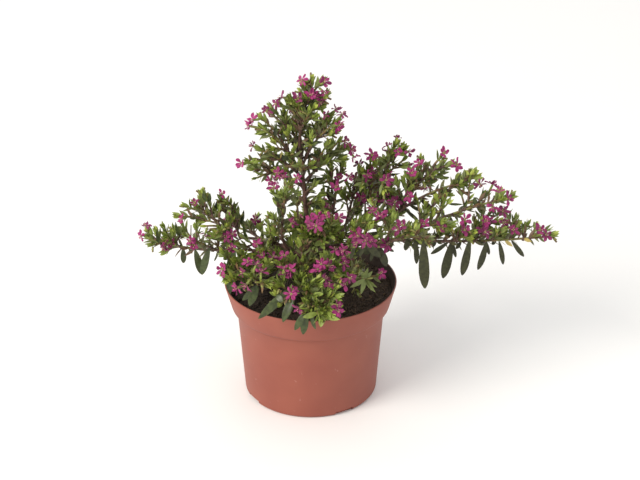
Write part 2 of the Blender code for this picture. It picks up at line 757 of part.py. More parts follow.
def main():
    for thing in list(bpy.data.objects):
        bpy.data.objects.remove(thing)
    parts = bpy.data.collections.new("Cuphea in its pot")
    cutters = bpy.data.collections.new("Cutters")
    bpy.context.scene.collection.children.link(parts)
    bpy.context.scene.collection.children.link(cutters)
    plastic = material("Terracotta plastic", POT_COLOUR, 0.45)
    soil = material("Soil", SOIL_COLOUR, 0.95)
    bark = material("Bark", BARK_COLOUR, 0.7)
    foliage = material("Foliage", FOLIAGE_COLOUR, 0.5)

    make_pot(plastic, parts, cutters)
    make_soil(soil, parts)
    skeleton = Skeleton()
    limbs = {"stem": (main_stem_path(), main_stem_radii())}
    add_part("main_stem", tube_mesh("main_stem", *limbs["stem"], STEM_ROUNDNESS), bark, parts)
    skeleton.add_path("limb stem", *limbs["stem"])
    for name, bough in BOUGHS.items():
        radii = taper(BOUGH_FOOT_RADIUS, BOUGH_TIP_RADIUS, BOUGH_SPANS)
        limbs[name] = (bough_path(bough, limbs["stem"]), radii)
        mesh = tube_mesh("bough_" + name, *limbs[name], BOUGH_ROUNDNESS)
        add_part("bough_" + name, mesh, bark, parts)
        skeleton.add_path("limb " + name, *limbs[name])
    make_masses(limbs, skeleton, foliage, parts)


main()
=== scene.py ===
import math
import random
from collections import namedtuple

import bmesh
import bpy
import numpy as np
from mathutils import Matrix, Vector, noise


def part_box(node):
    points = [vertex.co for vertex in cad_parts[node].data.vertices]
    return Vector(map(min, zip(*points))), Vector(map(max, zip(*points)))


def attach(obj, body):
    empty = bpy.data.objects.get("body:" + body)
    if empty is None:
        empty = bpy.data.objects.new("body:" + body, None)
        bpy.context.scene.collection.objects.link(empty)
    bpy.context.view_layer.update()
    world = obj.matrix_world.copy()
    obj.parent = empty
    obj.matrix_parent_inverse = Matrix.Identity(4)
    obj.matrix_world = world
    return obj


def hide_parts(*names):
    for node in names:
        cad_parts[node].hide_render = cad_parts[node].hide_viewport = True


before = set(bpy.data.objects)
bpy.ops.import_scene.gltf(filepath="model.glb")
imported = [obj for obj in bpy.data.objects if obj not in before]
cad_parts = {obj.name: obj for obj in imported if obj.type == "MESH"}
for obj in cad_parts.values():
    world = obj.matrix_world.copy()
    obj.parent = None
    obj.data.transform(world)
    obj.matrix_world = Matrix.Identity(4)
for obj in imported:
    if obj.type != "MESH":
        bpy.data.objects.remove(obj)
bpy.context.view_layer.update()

up = Vector((0.0, 0.0, 1.0))
away = Vector((0.0, 1.0, 0.0))
mm = 0.001
gap = 0.3 * mm       # between neighbouring solids
tiny = 0.01 * mm     # points this close are one

# The photograph's camera, which also tells where one of its pixels lies in the crown
camera = {"place": Vector((0.0, -0.760, 0.4757)), "down": 26.33, "right": 0.43,
          "lens": 80.0, "sensor": 36.0, "width": 640, "height": 480, "nearest": 0.01}
focal = camera["lens"] / camera["sensor"] * camera["width"]     # in pixels
cameraTurn = (Matrix.Rotation(-math.radians(camera["right"]), 3, "Z")
              @ Matrix.Rotation(math.radians(90 - camera["down"]), 3, "X"))
intoCamera = cameraTurn.transposed()


def placeOfPixel(u, v, y):
    # the point at depth y that the photograph shows at pixel u, v
    ray = cameraTurn @ Vector((u - camera["width"] / 2, camera["height"] / 2 - v, -focal))
    return camera["place"] + ray * ((y - camera["place"].y) / ray.y)


def pixelOf(point):
    seen = intoCamera @ (point - camera["place"])
    return camera["width"] / 2 - focal * seen.x / seen.z, camera["height"] / 2 + focal * seen.y / seen.z


def newObject(name, data):
    made = bpy.data.objects.new(name, data)
    bpy.context.scene.collection.objects.link(made)
    return made


def setCamera():
    data = bpy.data.cameras.new("camera")
    data.lens = camera["lens"]
    data.sensor_width = camera["sensor"]
    data.clip_start = camera["nearest"]
    eye = newObject("camera", data)
    eye.matrix_world = Matrix.Translation(camera["place"]) @ cameraTurn.to_4x4()
    bpy.context.scene.camera = eye


def linear(hexColour):
    channels = [int(hexColour[i:i + 2], 16) / 255 for i in (1, 3, 5)]
    return tuple(c / 12.92 if c <= 0.04045 else ((c + 0.055) / 1.055) ** 2.4 for c in channels) + (1.0,)


def addNode(tree, kind, inputs=None, **settings):
    # an input takes a value, or the output socket that feeds it
    node = tree.nodes.new(kind)
    for name, value in settings.items():
        setattr(node, name, value)
    for socket, value in (inputs or {}).items():
        if isinstance(value, bpy.types.NodeSocket):
            tree.links.new(value, node.inputs[socket])
        else:
            node.inputs[socket].default_value = value
    return node


def newMaterial(name, **sockets):
    made = bpy.data.materials.new(name)
    made.use_nodes = True
    tree = made.node_tree
    shader = tree.nodes["Principled BSDF"]
    for socket, value in sockets.items():
        shader.inputs[socket.replace("_", " ")].default_value = value
    place = tree.nodes.new("ShaderNodeTexCoord").outputs["Object"]
    return made, tree, shader, place


def mottle(tree, place, patch, first, second, low=0.4, high=0.6, detail=3.0):
    # one colour drifting into another, in patches of a real size in metres
    cloud = addNode(tree, "ShaderNodeTexNoise", {"Vector": place, "Scale": 1 / patch, "Detail": detail})
    share = addNode(tree, "ShaderNodeMapRange", {0: cloud.outputs["Fac"], 1: low, 2: high})
    blend = addNode(tree, "ShaderNodeMix", {0: share.outputs[0], 6: first, 7: second}, data_type="RGBA")
    return blend.outputs[2]


def roughen(tree, shader, place, grain, height, detail=2.0):
    # a fine relief in the finish
    cloud = addNode(tree, "ShaderNodeTexNoise", {"Vector": place, "Scale": 1 / grain, "Detail": detail})
    bump = addNode(tree, "ShaderNodeBump", {"Height": cloud.outputs["Fac"], "Distance": height,
                                            "Strength": 1.0})
    tree.links.new(bump.outputs["Normal"], shader.inputs["Normal"])


def skinMaterial(name, patch, first, second, grain, height, **sockets):
    # a plant's skin, which drifts between two colours and is a little uneven
    made, tree, shader, place = newMaterial(name, **sockets)
    tree.links.new(mottle(tree, place, patch, first, second), shader.inputs["Base Color"])
    roughen(tree, shader, place, grain, height)
    return made


# Stalks, calyces and stamens: soft green or dry skin with a dull gleam. Two colours, patch, roughness
skins = {"calyx skin": ("#8ea24e", "#7d7a45", 3 * mm, 0.5),
         "spent calyx skin": ("#8f9350", "#6d5238", 3 * mm, 0.6),
         "stamen": ("#d9bf94", "#c98f92", 1 * mm, 0.6),
         "twig bark": ("#6f5546", "#56403a", 2 * mm, 0.6),
         "green twig": ("#7c8243", "#7a5f40", 3 * mm, 0.5)}


def plainSkin(name):
    colour, other, patch, roughness = skins[name]
    return skinMaterial(name, patch, linear(colour), linear(other), 0.4 * mm, 0.05 * mm,
                        Roughness=roughness, IOR=1.42)


def turnedTo(way):
    # turns +Z to a direction
    return way.to_track_quat("Z", "Y").to_matrix().to_4x4()


def meshFrom(bm, name):
    mesh = bpy.data.meshes.new(name)
    bm.to_mesh(mesh)
    bm.free()
    return mesh


def bakedMesh(holder):
    # the mesh that a curve or a modifier gives; the object that held it goes
    graph = bpy.context.evaluated_depsgraph_get()
    mesh = bpy.data.meshes.new_from_object(holder.evaluated_get(graph))
    bpy.data.objects.remove(holder)
    return mesh


def closeUp(bm):
    # merges what lies together and turns every face outwards
    bmesh.ops.remove_doubles(bm, verts=bm.verts, dist=tiny)
    bmesh.ops.recalc_face_normals(bm, faces=bm.faces)


def spinProfile(name, outline, steps):
    # a turned shape; its outline gives radius and height
    bm = bmesh.new()
    corners = [bm.verts.new((radius, 0.0, height)) for radius, height in outline]
    edges = [bm.edges.new(pair) for pair in zip(corners[:-1], corners[1:])]
    bmesh.ops.spin(bm, geom=corners + edges, axis=(0, 0, 1), cent=(0, 0, 0), steps=steps,
                   angle=math.tau, use_merge=True)
    closeUp(bm)
    return meshFrom(bm, name)


def placed(point, turn):
    # a copy's place: turned, then moved to a point
    return np.array(Matrix.Translation(point) @ turn)


def finishPiece(name, mesh, materials, replaced=()):
    piece = newObject(name, mesh)
    mesh.materials.clear()
    for material in materials:
        mesh.materials.append(material)
    mesh.polygons.foreach_set("use_smooth", [True] * len(mesh.polygons))
    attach(piece, "root")
    if replaced:
        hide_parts(*replaced)


def joinCopies(name, batches):
    # one mesh of many copies; a batch is a shape and the 4 x 4 places of its copies
    points, corners, counts = [], [], []
    first = 0
    for shape, places in batches:
        if not len(places):
            continue
        own = np.array([(*vertex.co, 1.0) for vertex in shape.vertices])
        loops = np.array([loop.vertex_index for loop in shape.loops])
        sizes = np.array([face.loop_total for face in shape.polygons])
        moved = np.einsum("nij,vj->nvi", np.array(places), own)[..., :3]
        starts = first + len(own) * np.arange(len(places))
        points.append(moved.reshape(-1, 3))
        corners.append((loops[None, :] + starts[:, None]).ravel())
        counts.append(np.tile(sizes, len(places)))
        first += len(own) * len(places)
    points, corners, counts = (np.concatenate(part) for part in (points, corners, counts))
    mesh = bpy.data.meshes.new(name)
    mesh.vertices.add(len(points))
    mesh.vertices.foreach_set("co", points.astype(np.float32).ravel())
    mesh.loops.add(len(corners))
    mesh.loops.foreach_set("vertex_index", corners.astype(np.int32))
    mesh.polygons.add(len(counts))
    starts = np.concatenate([[0], np.cumsum(counts)[:-1]])
    mesh.polygons.foreach_set("loop_start", starts.astype(np.int32))
    mesh.update(calc_edges=True)
    return mesh


def finishCopies(name, batches, material):
    finishPiece(name, joinCopies(name, batches), [material])


def tubes(name, strands, roundness):
    # tapering tubes along paths, as one mesh; a strand is a path and its radii
    curve = bpy.data.curves.new(name, "CURVE")
    curve.dimensions = "3D"
    curve.bevel_depth = 1.0
    curve.bevel_resolution = roundness
    curve.use_fill_caps = True
    for path, radii in strands:
        spline = curve.splines.new("POLY")
        spline.points.add(len(path) - 1)
        for spot, place, radius in zip(spline.points, path, radii):
            spot.co = (*place, 1.0)
            spot.radius = radius
    mesh = bakedMesh(newObject(name, curve))
    bm = bmesh.new()
    bm.from_mesh(mesh)
    closeUp(bm)
    bm.to_mesh(mesh)
    bm.free()
    return mesh


# How the shrub branches. Azimuth 0 is right, 90 back, 180 left and 270 front.
soilTop = round(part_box("soil")[1].z, 4)
rimTop = round(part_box("pot")[1].z, 4)
rimRadius = round(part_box("pot")[1].x, 4)

mainStem = {"lean": 176, "rise": 86.2, "length": 0.0954, "arch": 0.0008, "spans": 12,
            "foot": 1.7 * mm, "tip": 0.9 * mm, "flare": 3.1 * mm, "flareFade": 4.0 * mm}
boughLook = {"foot": 1.2 * mm, "tip": 0.8 * mm, "spans": 4}
shootLook = {"foot": 0.9 * mm, "tip": 0.6 * mm, "spans": 3, "firstPair": 0.18, "lastPair": 0.84,
             "spread": 46, "lift": 0.25, "lowest": -0.15, "rollJitter": 14, "lengthJitter": 0.12,
             "hangingLean": 0.08, "hangingFade": 0.6, "hangingEnd": 0.6, "samples": 7}
# Free room between masses, round a side shoot and round the pot
room = {"margin": 1.4 * mm, "twig": 3.4 * mm, "pot": 1.2 * mm, "wallTop": 44.8 * mm}
seat = {"rounds": 16, "reach": 0.02, "points": 12}     # how the end of a limb is set on its bearer

# A mass of foliage stands at a share of its limb. Its stem carries pairs of side shoots, whose lengths
# run from longest to shortest, the first pair turned by roll, and a few hanging leaves.
Bough = namedtuple("Bough", "height azimuth rise length arch")
Mass = namedtuple("Mass", "limb share azimuth rise length arch pairs longest shortest roll "
                          "hanging hangingLeaf", defaults=(0, 0.0))
Shoot = namedtuple("Shoot", "mass order path foot tip")

boughs = {
    "left": Bough(0.080, 185, 18, 0.045, 0.004),
    "left_back": Bough(0.086, 159, 9, 0.043, 0.004),
    "front_upright": Bough(0.084, 236, 45, 0.037, -0.003),
    "right_upright": Bough(0.096, 30, 45, 0.021, -0.002),
    "right_high": Bough(0.0925, 44, 14, 0.035, -0.003),
    "right": Bough(0.086, 10, 26, 0.056, 0.003),
    "right_low": Bough(0.080, 352, 22, 0.058, 0.006),
    "right_front": Bough(0.0835, 329, 26, 0.047, 0.003),
    "front_high": Bough(0.087, 309, 32, 0.040, 0.003),
    "front_right": Bough(0.0775, 297, 12, 0.032, 0.003),
    "right_short": Bough(0.0735, 332, 5, 0.025, 0.002),
    "front_left": Bough(0.077, 211, 17, 0.041, 0.004),
    "front_low": Bough(0.0745, 262, 14, 0.033, 0.003),
    "front_middle": Bough(0.0915, 283, 37, 0.026, -0.002),
    "back_left": Bough(0.078, 131, 6, 0.042, 0.003),
    "back": Bough(0.080, 84, 3, 0.036, 0.003),
    "back_right": Bough(0.084, 52, 11, 0.048, 0.003),
}

masses = {
    "top": Mass("stem", 1.0, 8, 78, 0.033, 0.001, 4, 0.019, 0.007, 0),
    "top_left_low": Mass("stem", 0.70, 172, 17, 0.030, 0.003, 3, 0.014, 0.006, 0),
    "top_left": Mass("stem", 0.79, 205, 52, 0.037, 0.003, 4, 0.014, 0.006, 0),
    "top_left_high": Mass("stem", 0.89, 146, 48, 0.028, 0.003, 3, 0.012, 0.006, 0),
    "top_right_low": Mass("stem", 0.73, 20, 33, 0.030, 0.002, 3, 0.014, 0.007, 0),
    "top_right": Mass("stem", 0.85, 345, 53, 0.032, 0.003, 3, 0.015, 0.006, 0),
    "top_back": Mass("stem", 0.82, 95, 45, 0.034, 0.003, 3, 0.014, 0.007, 0),
    "top_front": Mass("stem", 0.76, 265, 38, 0.024, 0.002, 2, 0.011, 0.007, 0),
    "middle": Mass("stem", 0.38, 258, 34, 0.019, 0.002, 3, 0.014, 0.007, 30),
    "left": Mass("left", 1.0, 181, 9, 0.050, -0.003, 4, 0.026, 0.007, 45, 3, 0.017),
    "left_high": Mass("left", 0.9, 166, 45, 0.036, 0.002, 3, 0.014, 0.006, 0),
    "left_middle": Mass("left", 0.62, 160, 72, 0.008, 0.001, 1, 0.010, 0.010, 20),
    "left_back": Mass("left_back", 1.0, 165, 58, 0.020, 0.002, 3, 0.009, 0.006, 0),
    "front_upright": Mass("front_upright", 1.0, 300, 80, 0.030, 0.001, 3, 0.012, 0.007, 20),
    "right_upright": Mass("right_upright", 1.0, 5, 80, 0.032, 0.001, 3, 0.015, 0.007, 10),
    "right_high": Mass("right_high", 1.0, 6, 50, 0.048, 0.003, 4, 0.018, 0.007, 0),
    "right_inner": Mass("right_high", 0.86, 345, 74, 0.034, 0.001, 3, 0.013, 0.007, 45),
    "right": Mass("right", 1.0, 16, 47, 0.039, 0.003, 4, 0.017, 0.007, 0),
    "right_middle": Mass("right", 0.88, 358, 28, 0.044, 0.003, 3, 0.016, 0.007, 0),
    "right_outer": Mass("right_low", 0.86, 4, 20, 0.069, 0.003, 5, 0.018, 0.008, 0),
    "right_low": Mass("right_low", 1.0, 1, 1, 0.087, -0.002, 6, 0.018, 0.008, 45, 6, 0.032),
    "right_front": Mass("right_front", 1.0, 346, 20, 0.032, 0.003, 3, 0.015, 0.008, 45),
    "front_high": Mass("front_high", 1.0, 300, 36, 0.022, 0.002, 3, 0.015, 0.008, 45),
    "front_right": Mass("front_right", 1.0, 298, 42, 0.022, 0.002, 3, 0.014, 0.008, 45),
    "right_short": Mass("right_short", 1.0, 322, 42, 0.014, 0.001, 2, 0.010, 0.008, 45),
    "front_left": Mass("front_left", 1.0, 212, 12, 0.015, 0.002, 3, 0.016, 0.008, 45),
    "front_left_inner": Mass("front_left", 0.5, 240, 42, 0.020, 0.001, 3, 0.014, 0.008, 45),
    "front_left_low": Mass("front_left", 0.86, 272, 8, 0.026, 0.001, 4, 0.017, 0.008, 45, 2, 0.020),
    "front_inner": Mass("front_low", 0.45, 250, 42, 0.019, 0.001, 3, 0.014, 0.008, 45),
    "front_low": Mass("front_low", 1.0, 296, 6, 0.027, 0.001, 4, 0.015, 0.008, 45, 3, 0.016),
    "front_low_left": Mass("front_low", 0.86, 246, 9, 0.025, 0.001, 4, 0.015, 0.008, 45, 3, 0.020),
    "front_middle": Mass("front_middle", 1.0, 292, 50, 0.018, 0.001, 3, 0.014, 0.008, 20),
    "back_left": Mass("back_left", 1.0, 143, 5, 0.026, 0.002, 3, 0.018, 0.008, 45),
    "back": Mass("back", 1.0, 92, 8, 0.026, 0.002, 3, 0.017, 0.008, 45),
    "back_right": Mass("back_right", 1.0, 36, 20, 0.030, 0.002, 3, 0.018, 0.008, 45),
}

limbs = {}      # each one's path and radii
shoots = []     # every leafy shoot; order 0 is a stem, 1 a side shoot and 2 a fine twig


def heading(azimuth, rise):
    flat = math.cos(math.radians(rise))
    turn = math.radians(azimuth)
    return Vector((flat * math.cos(turn), flat * math.sin(turn), math.sin(math.radians(rise))))


def evenly(first, last, count):
    return [first + (last - first) * step / max(count - 1, 1) for step in range(count)]


def bowedPath(start, way, length, arch, spans):
    # a chord that bows upwards by arch in its middle
    side = way.cross(up)
    bow = side.cross(way).normalized() if side.length > tiny else Vector((1.0, 0.0, 0.0))
    return [start + way * length * t + bow * 4 * arch * t * (1 - t) for t in evenly(0, 1, spans + 1)]


def placeOn(path, share):
    # the point at a share of a path, and the direction there
    spans = len(path) - 1
    span = min(int(share * spans), spans - 1)
    step = path[span + 1] - path[span]
    return path[span] + step * (share * spans - span), step.normalized()


def pathLength(path):
    return sum((b - a).length for a, b in zip(path[:-1], path[1:]))


def jitter(rng, most):
    return rng.uniform(-most, most)


def stemRadii(spans):
    radii = evenly(mainStem["foot"], mainStem["tip"], spans + 1)
    span = mainStem["length"] / spans
    flare = mainStem["flare"] - mainStem["foot"]
    return [radius + flare * math.exp(-span * step / mainStem["flareFade"])
            for step, radius in enumerate(radii)]


def seated(path, way, ownRadius, limb, share):
    # moves a path, built at the origin, until its end is one gap clear of its limb
    limbPath, radii = limb
    point, along = placeOn(limbPath, share)
    spans = len(radii) - 1
    span = min(int(share * spans), spans - 1)
    radius = radii[span] + (radii[span + 1] - radii[span]) * (share * spans - span)
    first = (path[1] - path[0]).normalized()
    side = first.orthogonal().normalized() * ownRadius
    turns = [math.tau / seat["points"] * step for step in range(seat["points"])]
    rim = [Matrix.Rotation(turn, 3, first) @ side for turn in turns]
    near, far = 0.0, seat["reach"]
    for _ in range(seat["rounds"]):
        middle = (near + far) / 2
        gaps = []
        for spot in rim:
            offset = spot + way * middle
            beyond = offset.dot(along)
            outside = max((offset - along * beyond).length - radius, 0.0)
            gaps.append(math.hypot(outside, max(beyond, 0.0) if share >= 1.0 else 0.0))
        if min(gaps) > gap:
            far = middle
        else:
            near = middle
    return [point + way * far + step for step in path]


def segmentDistances(points, starts, ends):
    spans = ends - starts
    offsets = points[:, None, :] - starts[None, :, :]
    shares = (offsets * spans).sum(-1) / (spans * spans).sum(-1)
    return np.linalg.norm(offsets - np.clip(shares, 0.0, 1.0)[..., None] * spans, axis=-1)


class Space:
    # every limb and twig as straight pieces, so that each mass keeps to its own room
    def __init__(self):
        self.owners, self.starts, self.ends = [], [], []

    def add(self, owner, path):
        for start, end in zip(path[:-1], path[1:]):
            self.owners.append(owner)
            self.starts.append(tuple(start))
            self.ends.append(tuple(end))

    def distances(self, owner, points):
        # from each point to what the owner has, and to what the others have
        clear = segmentDistances(np.array([tuple(point) for point in points]),
                                 np.array(self.starts), np.array(self.ends))
        own = np.array([name == owner for name in self.owners])
        return clear[:, own], clear[:, ~own]

    def keepClear(self, owner, lines):
        kept = []
        steps = shootLook["samples"]
        for start, end in lines:
            points = [start + (end - start) * step / steps for step in range(steps + 1)]
            others = self.distances(owner, points)[1]
            if (others > room["twig"]).all() and clearOfPot(points):
                kept.append((start, end))
                self.add(owner, (start, end))
        return kept

    def isOwn(self, owner, points):
        own, others = self.distances(owner, points)
        return (own.min(axis=1) + room["margin"] < others.min(axis=1)).all()


def clearOfPot(points):
    for point in points:
        out = math.hypot(point.x, point.y)
        overRim = point.z > rimTop + room["pot"]
        inside = out < room["wallTop"] and point.z > soilTop + room["pot"]
        outside = out > rimRadius + room["pot"]
        if not (overRim or inside or outside):
            return False
    return True


def leaning(along, outward, spread, lift):
    # a direction that turns out from its bearer by spread, and a little up
    return (along * math.cos(spread) + outward * math.sin(spread) + up * lift).normalized()


def sideShoots(mass, stem, rng):
    # pairs that cross each other, shorter towards the tip of the stem
    lines = []
    spread = math.radians(shootLook["spread"])
    for pair in range(mass.pairs):
        wayUp = pair / max(mass.pairs - 1, 1)
        share = shootLook["firstPair"] + (shootLook["lastPair"] - shootLook["firstPair"]) * wayUp
        point, along = placeOn(stem, share)
        level = along.cross(up).normalized()
        for side in range(2):
            turn = mass.roll + 90 * pair + 180 * side + jitter(rng, 1) * shootLook["rollJitter"]
            length = mass.longest + (mass.shortest - mass.longest) * wayUp
            length *= 1 + jitter(rng, 1) * shootLook["lengthJitter"]
            outward = Matrix.Rotation(math.radians(turn), 3, along) @ level
            way = leaning(along, outward, spread, shootLook["lift"])
            if way.z > shootLook["lowest"]:
                lines.append((point, point + way * length))
    return lines


def hangingLeaves(mass, stem):
    # old leaves that hang down from a stem, shorter towards its tip
    lines = []
    for leaf in range(mass.hanging):
        point, along = placeOn(stem, (leaf + 1) / (mass.hanging + shootLook["hangingEnd"]))
        way = (-up - along * shootLook["hangingLean"]).normalized()
        length = mass.hangingLeaf * (1 - shootLook["hangingFade"] * leaf / max(mass.hanging - 1, 1))
        lines.append((point, point + way * length))
    return lines


# The finer twigs that the solids leave out, in pairs on each side shoot
fineLook = {"pairs": (0.50,), "backPairs": (0.28, 0.54, 0.80), "longest": 0.45, "shortest": 0.30,
            "least": 10.5 * mm, "leaderLeast": 9.5 * mm, "spread": 42, "spreadJitter": 8, "lift": 0.35,
            "clearAt": (0.4, 0.7, 1.0), "seed": 300}
# Short leafy twigs on the bare parts of the limbs: first and last share, pairs and length
bareLook = {"stem": (0.18, 0.44, 3, 14.0 * mm), "bough": (0.40, 0.96, 2, 11.0 * mm),
            "shortest": 0.6, "clearAt": (0.3, 0.6, 1.0), "seed": 600}
# Shoots that are aimed at a place in the photograph, and what each may grow from
aimLook = {"least": 6.0 * mm, "most": 36.0 * mm, "lean": 0.80, "leanCost": 16.0 * mm, "arch": 0.07,
           "spans": 3, "step": 2.5 * mm, "carrierFrom": 0.12, "carrierTo": 0.9, "drop": 6 * mm,
           "depthCost": 0.3, "forks": (0.3, 0.5, 0.7), "pairs": (0.5,), "longest": 0.5, "shortest": 0.35}
thickness = {"side": (0.62 * mm, 0.45 * mm), "fine": (0.40 * mm, 0.30 * mm), "bare": (0.45 * mm, 0.35 * mm),
             "guided": (0.85 * mm, 0.55 * mm), "aimed": (0.75 * mm, 0.50 * mm)}     # at foot and tip

# Shoots in the photograph that the masses leave out: root pixel, tip pixel and depth of the tip in mm
guidedShoots = {
    "leader": (
        (284, 148, 262, 119, -8), (285, 131, 272, 108, 10), (299, 130, 288, 103, 2),
        (302, 178, 260, 150, -6), (275, 172, 249, 162, 0), (272, 176, 257, 178, -4),
        (300, 126, 314, 108, -8), (300, 147, 331, 117, 2), (325, 163, 338, 142, 6),
        (318, 171, 327, 145, -4), (305, 195, 316, 186, -6), (287, 206, 293, 178, -24),
        (285, 207, 273, 192, -26), (284, 216, 277, 203, -24), (309, 97, 311, 80, 0),
        (310, 103, 322, 82, -3), (309, 102, 302, 85, 3), (311, 110, 326, 95, 3), (303, 168, 342, 160, 4),
        (306, 206, 320, 196, -2), (300, 205, 293, 190, 4), (305, 113, 322, 100, -4),
        (300, 124, 298, 103, -6), (302, 166, 290, 122, 18), (302, 170, 316, 128, 18),
        (303, 190, 292, 160, 22), (303, 190, 318, 165, 22), (304, 198, 322, 180, 14),
        (288, 205, 297, 194, -14)),
    "right": (
        (331, 200, 321, 190, 6), (337, 180, 346, 168, 10), (352, 195, 361, 172, 14),
        (382, 184, 397, 144, 27), (386, 172, 391, 154, 25), (392, 158, 403, 149, 25),
        (368, 190, 371, 158, 20), (432, 178, 441, 164, 16), (464, 184, 473, 173, 8),
        (396, 190, 408, 178, 16), (408, 190, 417, 170, 18), (430, 176, 442, 156, 18),
        (436, 170, 453, 166, 14), (434, 209, 472, 175, 8), (452, 192, 459, 181, 8),
        (466, 212, 469, 199, 0), (478, 210, 482, 194, 4), (492, 204, 500, 194, 2), (508, 236, 516, 220, 0),
        (522, 238, 527, 226, 0), (532, 238, 536, 227, 2), (540, 239, 547, 231, 0),
        (382, 192, 380, 176, 12), (404, 206, 410, 190, 6)),
    "left": (
        (206, 211, 202, 194, 6), (228, 214, 221, 199, 16), (214, 220, 186, 207, 2),
        (200, 227, 179, 217, -2), (168, 241, 164, 228, -2), (178, 243, 174, 229, 2),
        (236, 226, 243, 214, 14), (158, 240, 148, 233, 0)),
}

# Further tips there, whose roots are the twigs that best reach them: pixel, depth and length in mm
furtherTips = {
    "leader": (
        (281, 104, 4, 12), (284, 112, 6, 10), (262, 133, -4, 12), (258, 160, -4, 12), (331, 166, 2, 12),
        (342, 148, 8, 12), (327, 121, 2, 10), (296, 201, -10, 10), (318, 202, -6, 10), (287, 186, -16, 10)),
    "right": (
        (404, 182, 14, 10), (375, 164, 14, 12), (460, 191, 4, 12), (487, 196, 6, 12), (442, 178, 16, 10),
        (421, 160, 18, 12), (476, 178, 6, 10), (366, 220, 4, 10), (374, 222, 0, 10), (388, 226, -6, 10),
        (398, 238, -14, 8), (360, 224, -4, 10), (390, 240, -12, 8), (415, 226, -16, 10),
        (450, 226, -14, 10), (418, 178, 16, 16), (384, 190, 0, 14), (372, 204, -8, 14), (393, 214, -6, 14),
        (425, 214, 0, 12), (447, 232, -8, 10), (458, 214, 2, 12), (462, 224, -10, 10), (474, 214, 4, 14),
        (482, 222, -6, 12), (492, 212, 6, 14), (498, 222, -4, 12), (396, 182, 12, 16), (380, 232, -14, 12),
        (506, 224, 6, 12), (436, 226, -2, 10), (476, 205, -2, 10), (500, 214, 8, 12), (520, 230, 2, 8),
        (482, 209, 6, 12), (445, 174, 18, 12), (362, 186, 4, 12), (446, 188, 6, 14), (418, 200, 6, 14),
        (506, 212, 0, 12), (428, 236, -10, 10), (410, 234, -18, 10), (468, 234, -12, 10),
        (488, 232, -10, 8), (422, 232, -8, 7), (438, 234, -6, 7), (455, 233, -6, 7), (462, 235, -2, 6),
        (475, 233, -4, 7), (481, 236, -2, 6), (494, 234, -4, 7), (503, 232, -2, 6), (444, 230, -8, 8)),
    "left": (
        (208, 199, 6, 10), (227, 203, 12, 10), (210, 229, 2, 10), (166, 251, -2, 8), (202, 245, 2, 8),
        (214, 214, 8, 12), (232, 228, 10, 12), (212, 236, -6, 10), (210, 242, 4, 10), (244, 238, 4, 12),
        (240, 244, -8, 10), (222, 240, 0, 10), (198, 222, 4, 12), (206, 226, -4, 10), (184, 232, 2, 8),
        (196, 232, -4, 8)),
    "middle": (
        (300, 238, 20, 10), (296, 243, 10, 10), (306, 240, 14, 10), (268, 232, 12, 12), (281, 226, 22, 12),
        (293, 232, 26, 12), (303, 226, 30, 12), (258, 240, 6, 12), (320, 222, 20, 12), (352, 222, 12, 12),
        (372, 226, 16, 12), (395, 232, 8, 12), (380, 246, 20, 12), (268, 224, 16, 12), (262, 236, -6, 10)),
    "front": (
        (334, 232, -26, 12), (318, 232, -30, 10), (326, 238, -32, 10), (300, 243, -34, 10),
        (342, 240, -28, 10), (304, 236, -30, 12), (314, 246, -34, 12), (262, 262, -34, 12),
        (229, 279, -40, 12), (236, 262, -30, 12), (247, 284, -46, 12), (268, 286, -50, 12),
        (290, 296, -56, 12), (306, 312, -62, 12), (320, 318, -66, 12), (332, 312, -64, 10),
        (300, 276, -46, 12), (318, 286, -52, 12), (338, 296, -56, 10), (330, 262, -40, 12),
        (282, 262, -38, 12), (348, 262, -34, 12)),
    "rosettes": (
        (323, 310, -62, 12), (336, 311, -60, 12), (330, 297, -56, 10), (337, 230, -20, 10),
        (310, 233, -28, 10), (294, 231, -20, 10), (341, 277, -48, 10), (231, 279, -42, 12),
        (268, 263, -40, 10), (314, 296, -58, 10), (244, 262, -34, 10), (326, 256, -36, 10),
        (470, 177, 6, 14), (322, 243, -36, 10), (303, 232, -28, 10), (450, 227, -12, 8),
        (399, 151, 22, 12), (417, 228, -14, 8)),
    "star": (
        (365, 279, -36, 10),),
}

# Where the photograph shows sky through the crown: pixel column, pixel row, radius in pixels
skyGaps = (
    # left
    (247, 214, 8), (262, 205, 6), (256, 234, 6), (218, 262, 7), (210, 224, 6), (191, 221, 3.5),
    (190, 229, 4), (203, 211, 3), (223, 215, 4), (234, 226, 3), (239, 231, 3), (240, 241, 3),
    (201, 243, 2.5), (246, 178, 7),
    # leader
    (262, 141, 3), (286, 112, 2), (274, 123, 2), (279, 135, 3), (287, 138, 2.5), (295, 131, 2.5),
    (304, 136, 2), (313, 123, 2.5), (318, 138, 3), (311, 151, 4), (322, 145, 3), (289, 149, 2.5),
    (287, 164, 3), (306, 163, 2.5), (314, 161, 2), (322, 166, 3), (318, 174, 3), (294, 171, 4),
    (294, 177, 3), (307, 175, 2), (319, 187, 3.5), (309, 186, 2), (307, 194, 3), (298, 208, 5),
    (292, 209, 3), (312, 208, 3), (338, 195, 3), (337, 207, 3), (345, 207, 3), (351, 174, 3),
    (327, 132, 2.5), (276, 146, 2.5),
    # right
    (350, 165, 5), (351, 205, 3), (350, 221, 2.5), (366, 204, 3), (374, 219, 1.5), (380, 224, 2),
    (384, 229, 2), (401, 162, 4), (400, 170, 4), (407, 183, 2), (404, 193, 2.5), (420, 196, 3.5),
    (426, 194, 3), (434, 160, 5), (448, 174, 3), (455, 171, 4), (446, 183, 3), (451, 186, 3),
    (430, 204, 3), (416, 207, 2), (408, 214, 4), (413, 217, 3), (450, 209, 4), (456, 212, 3),
    (452, 203, 2), (458, 198, 4), (467, 197, 4), (470, 206, 3.5), (478, 193, 4), (474, 213, 3),
    (427, 227, 2.5), (431, 232, 3), (396, 208, 2), (447, 215, 3), (455, 208, 3), (524, 247, 6),
    (402, 248, 5))

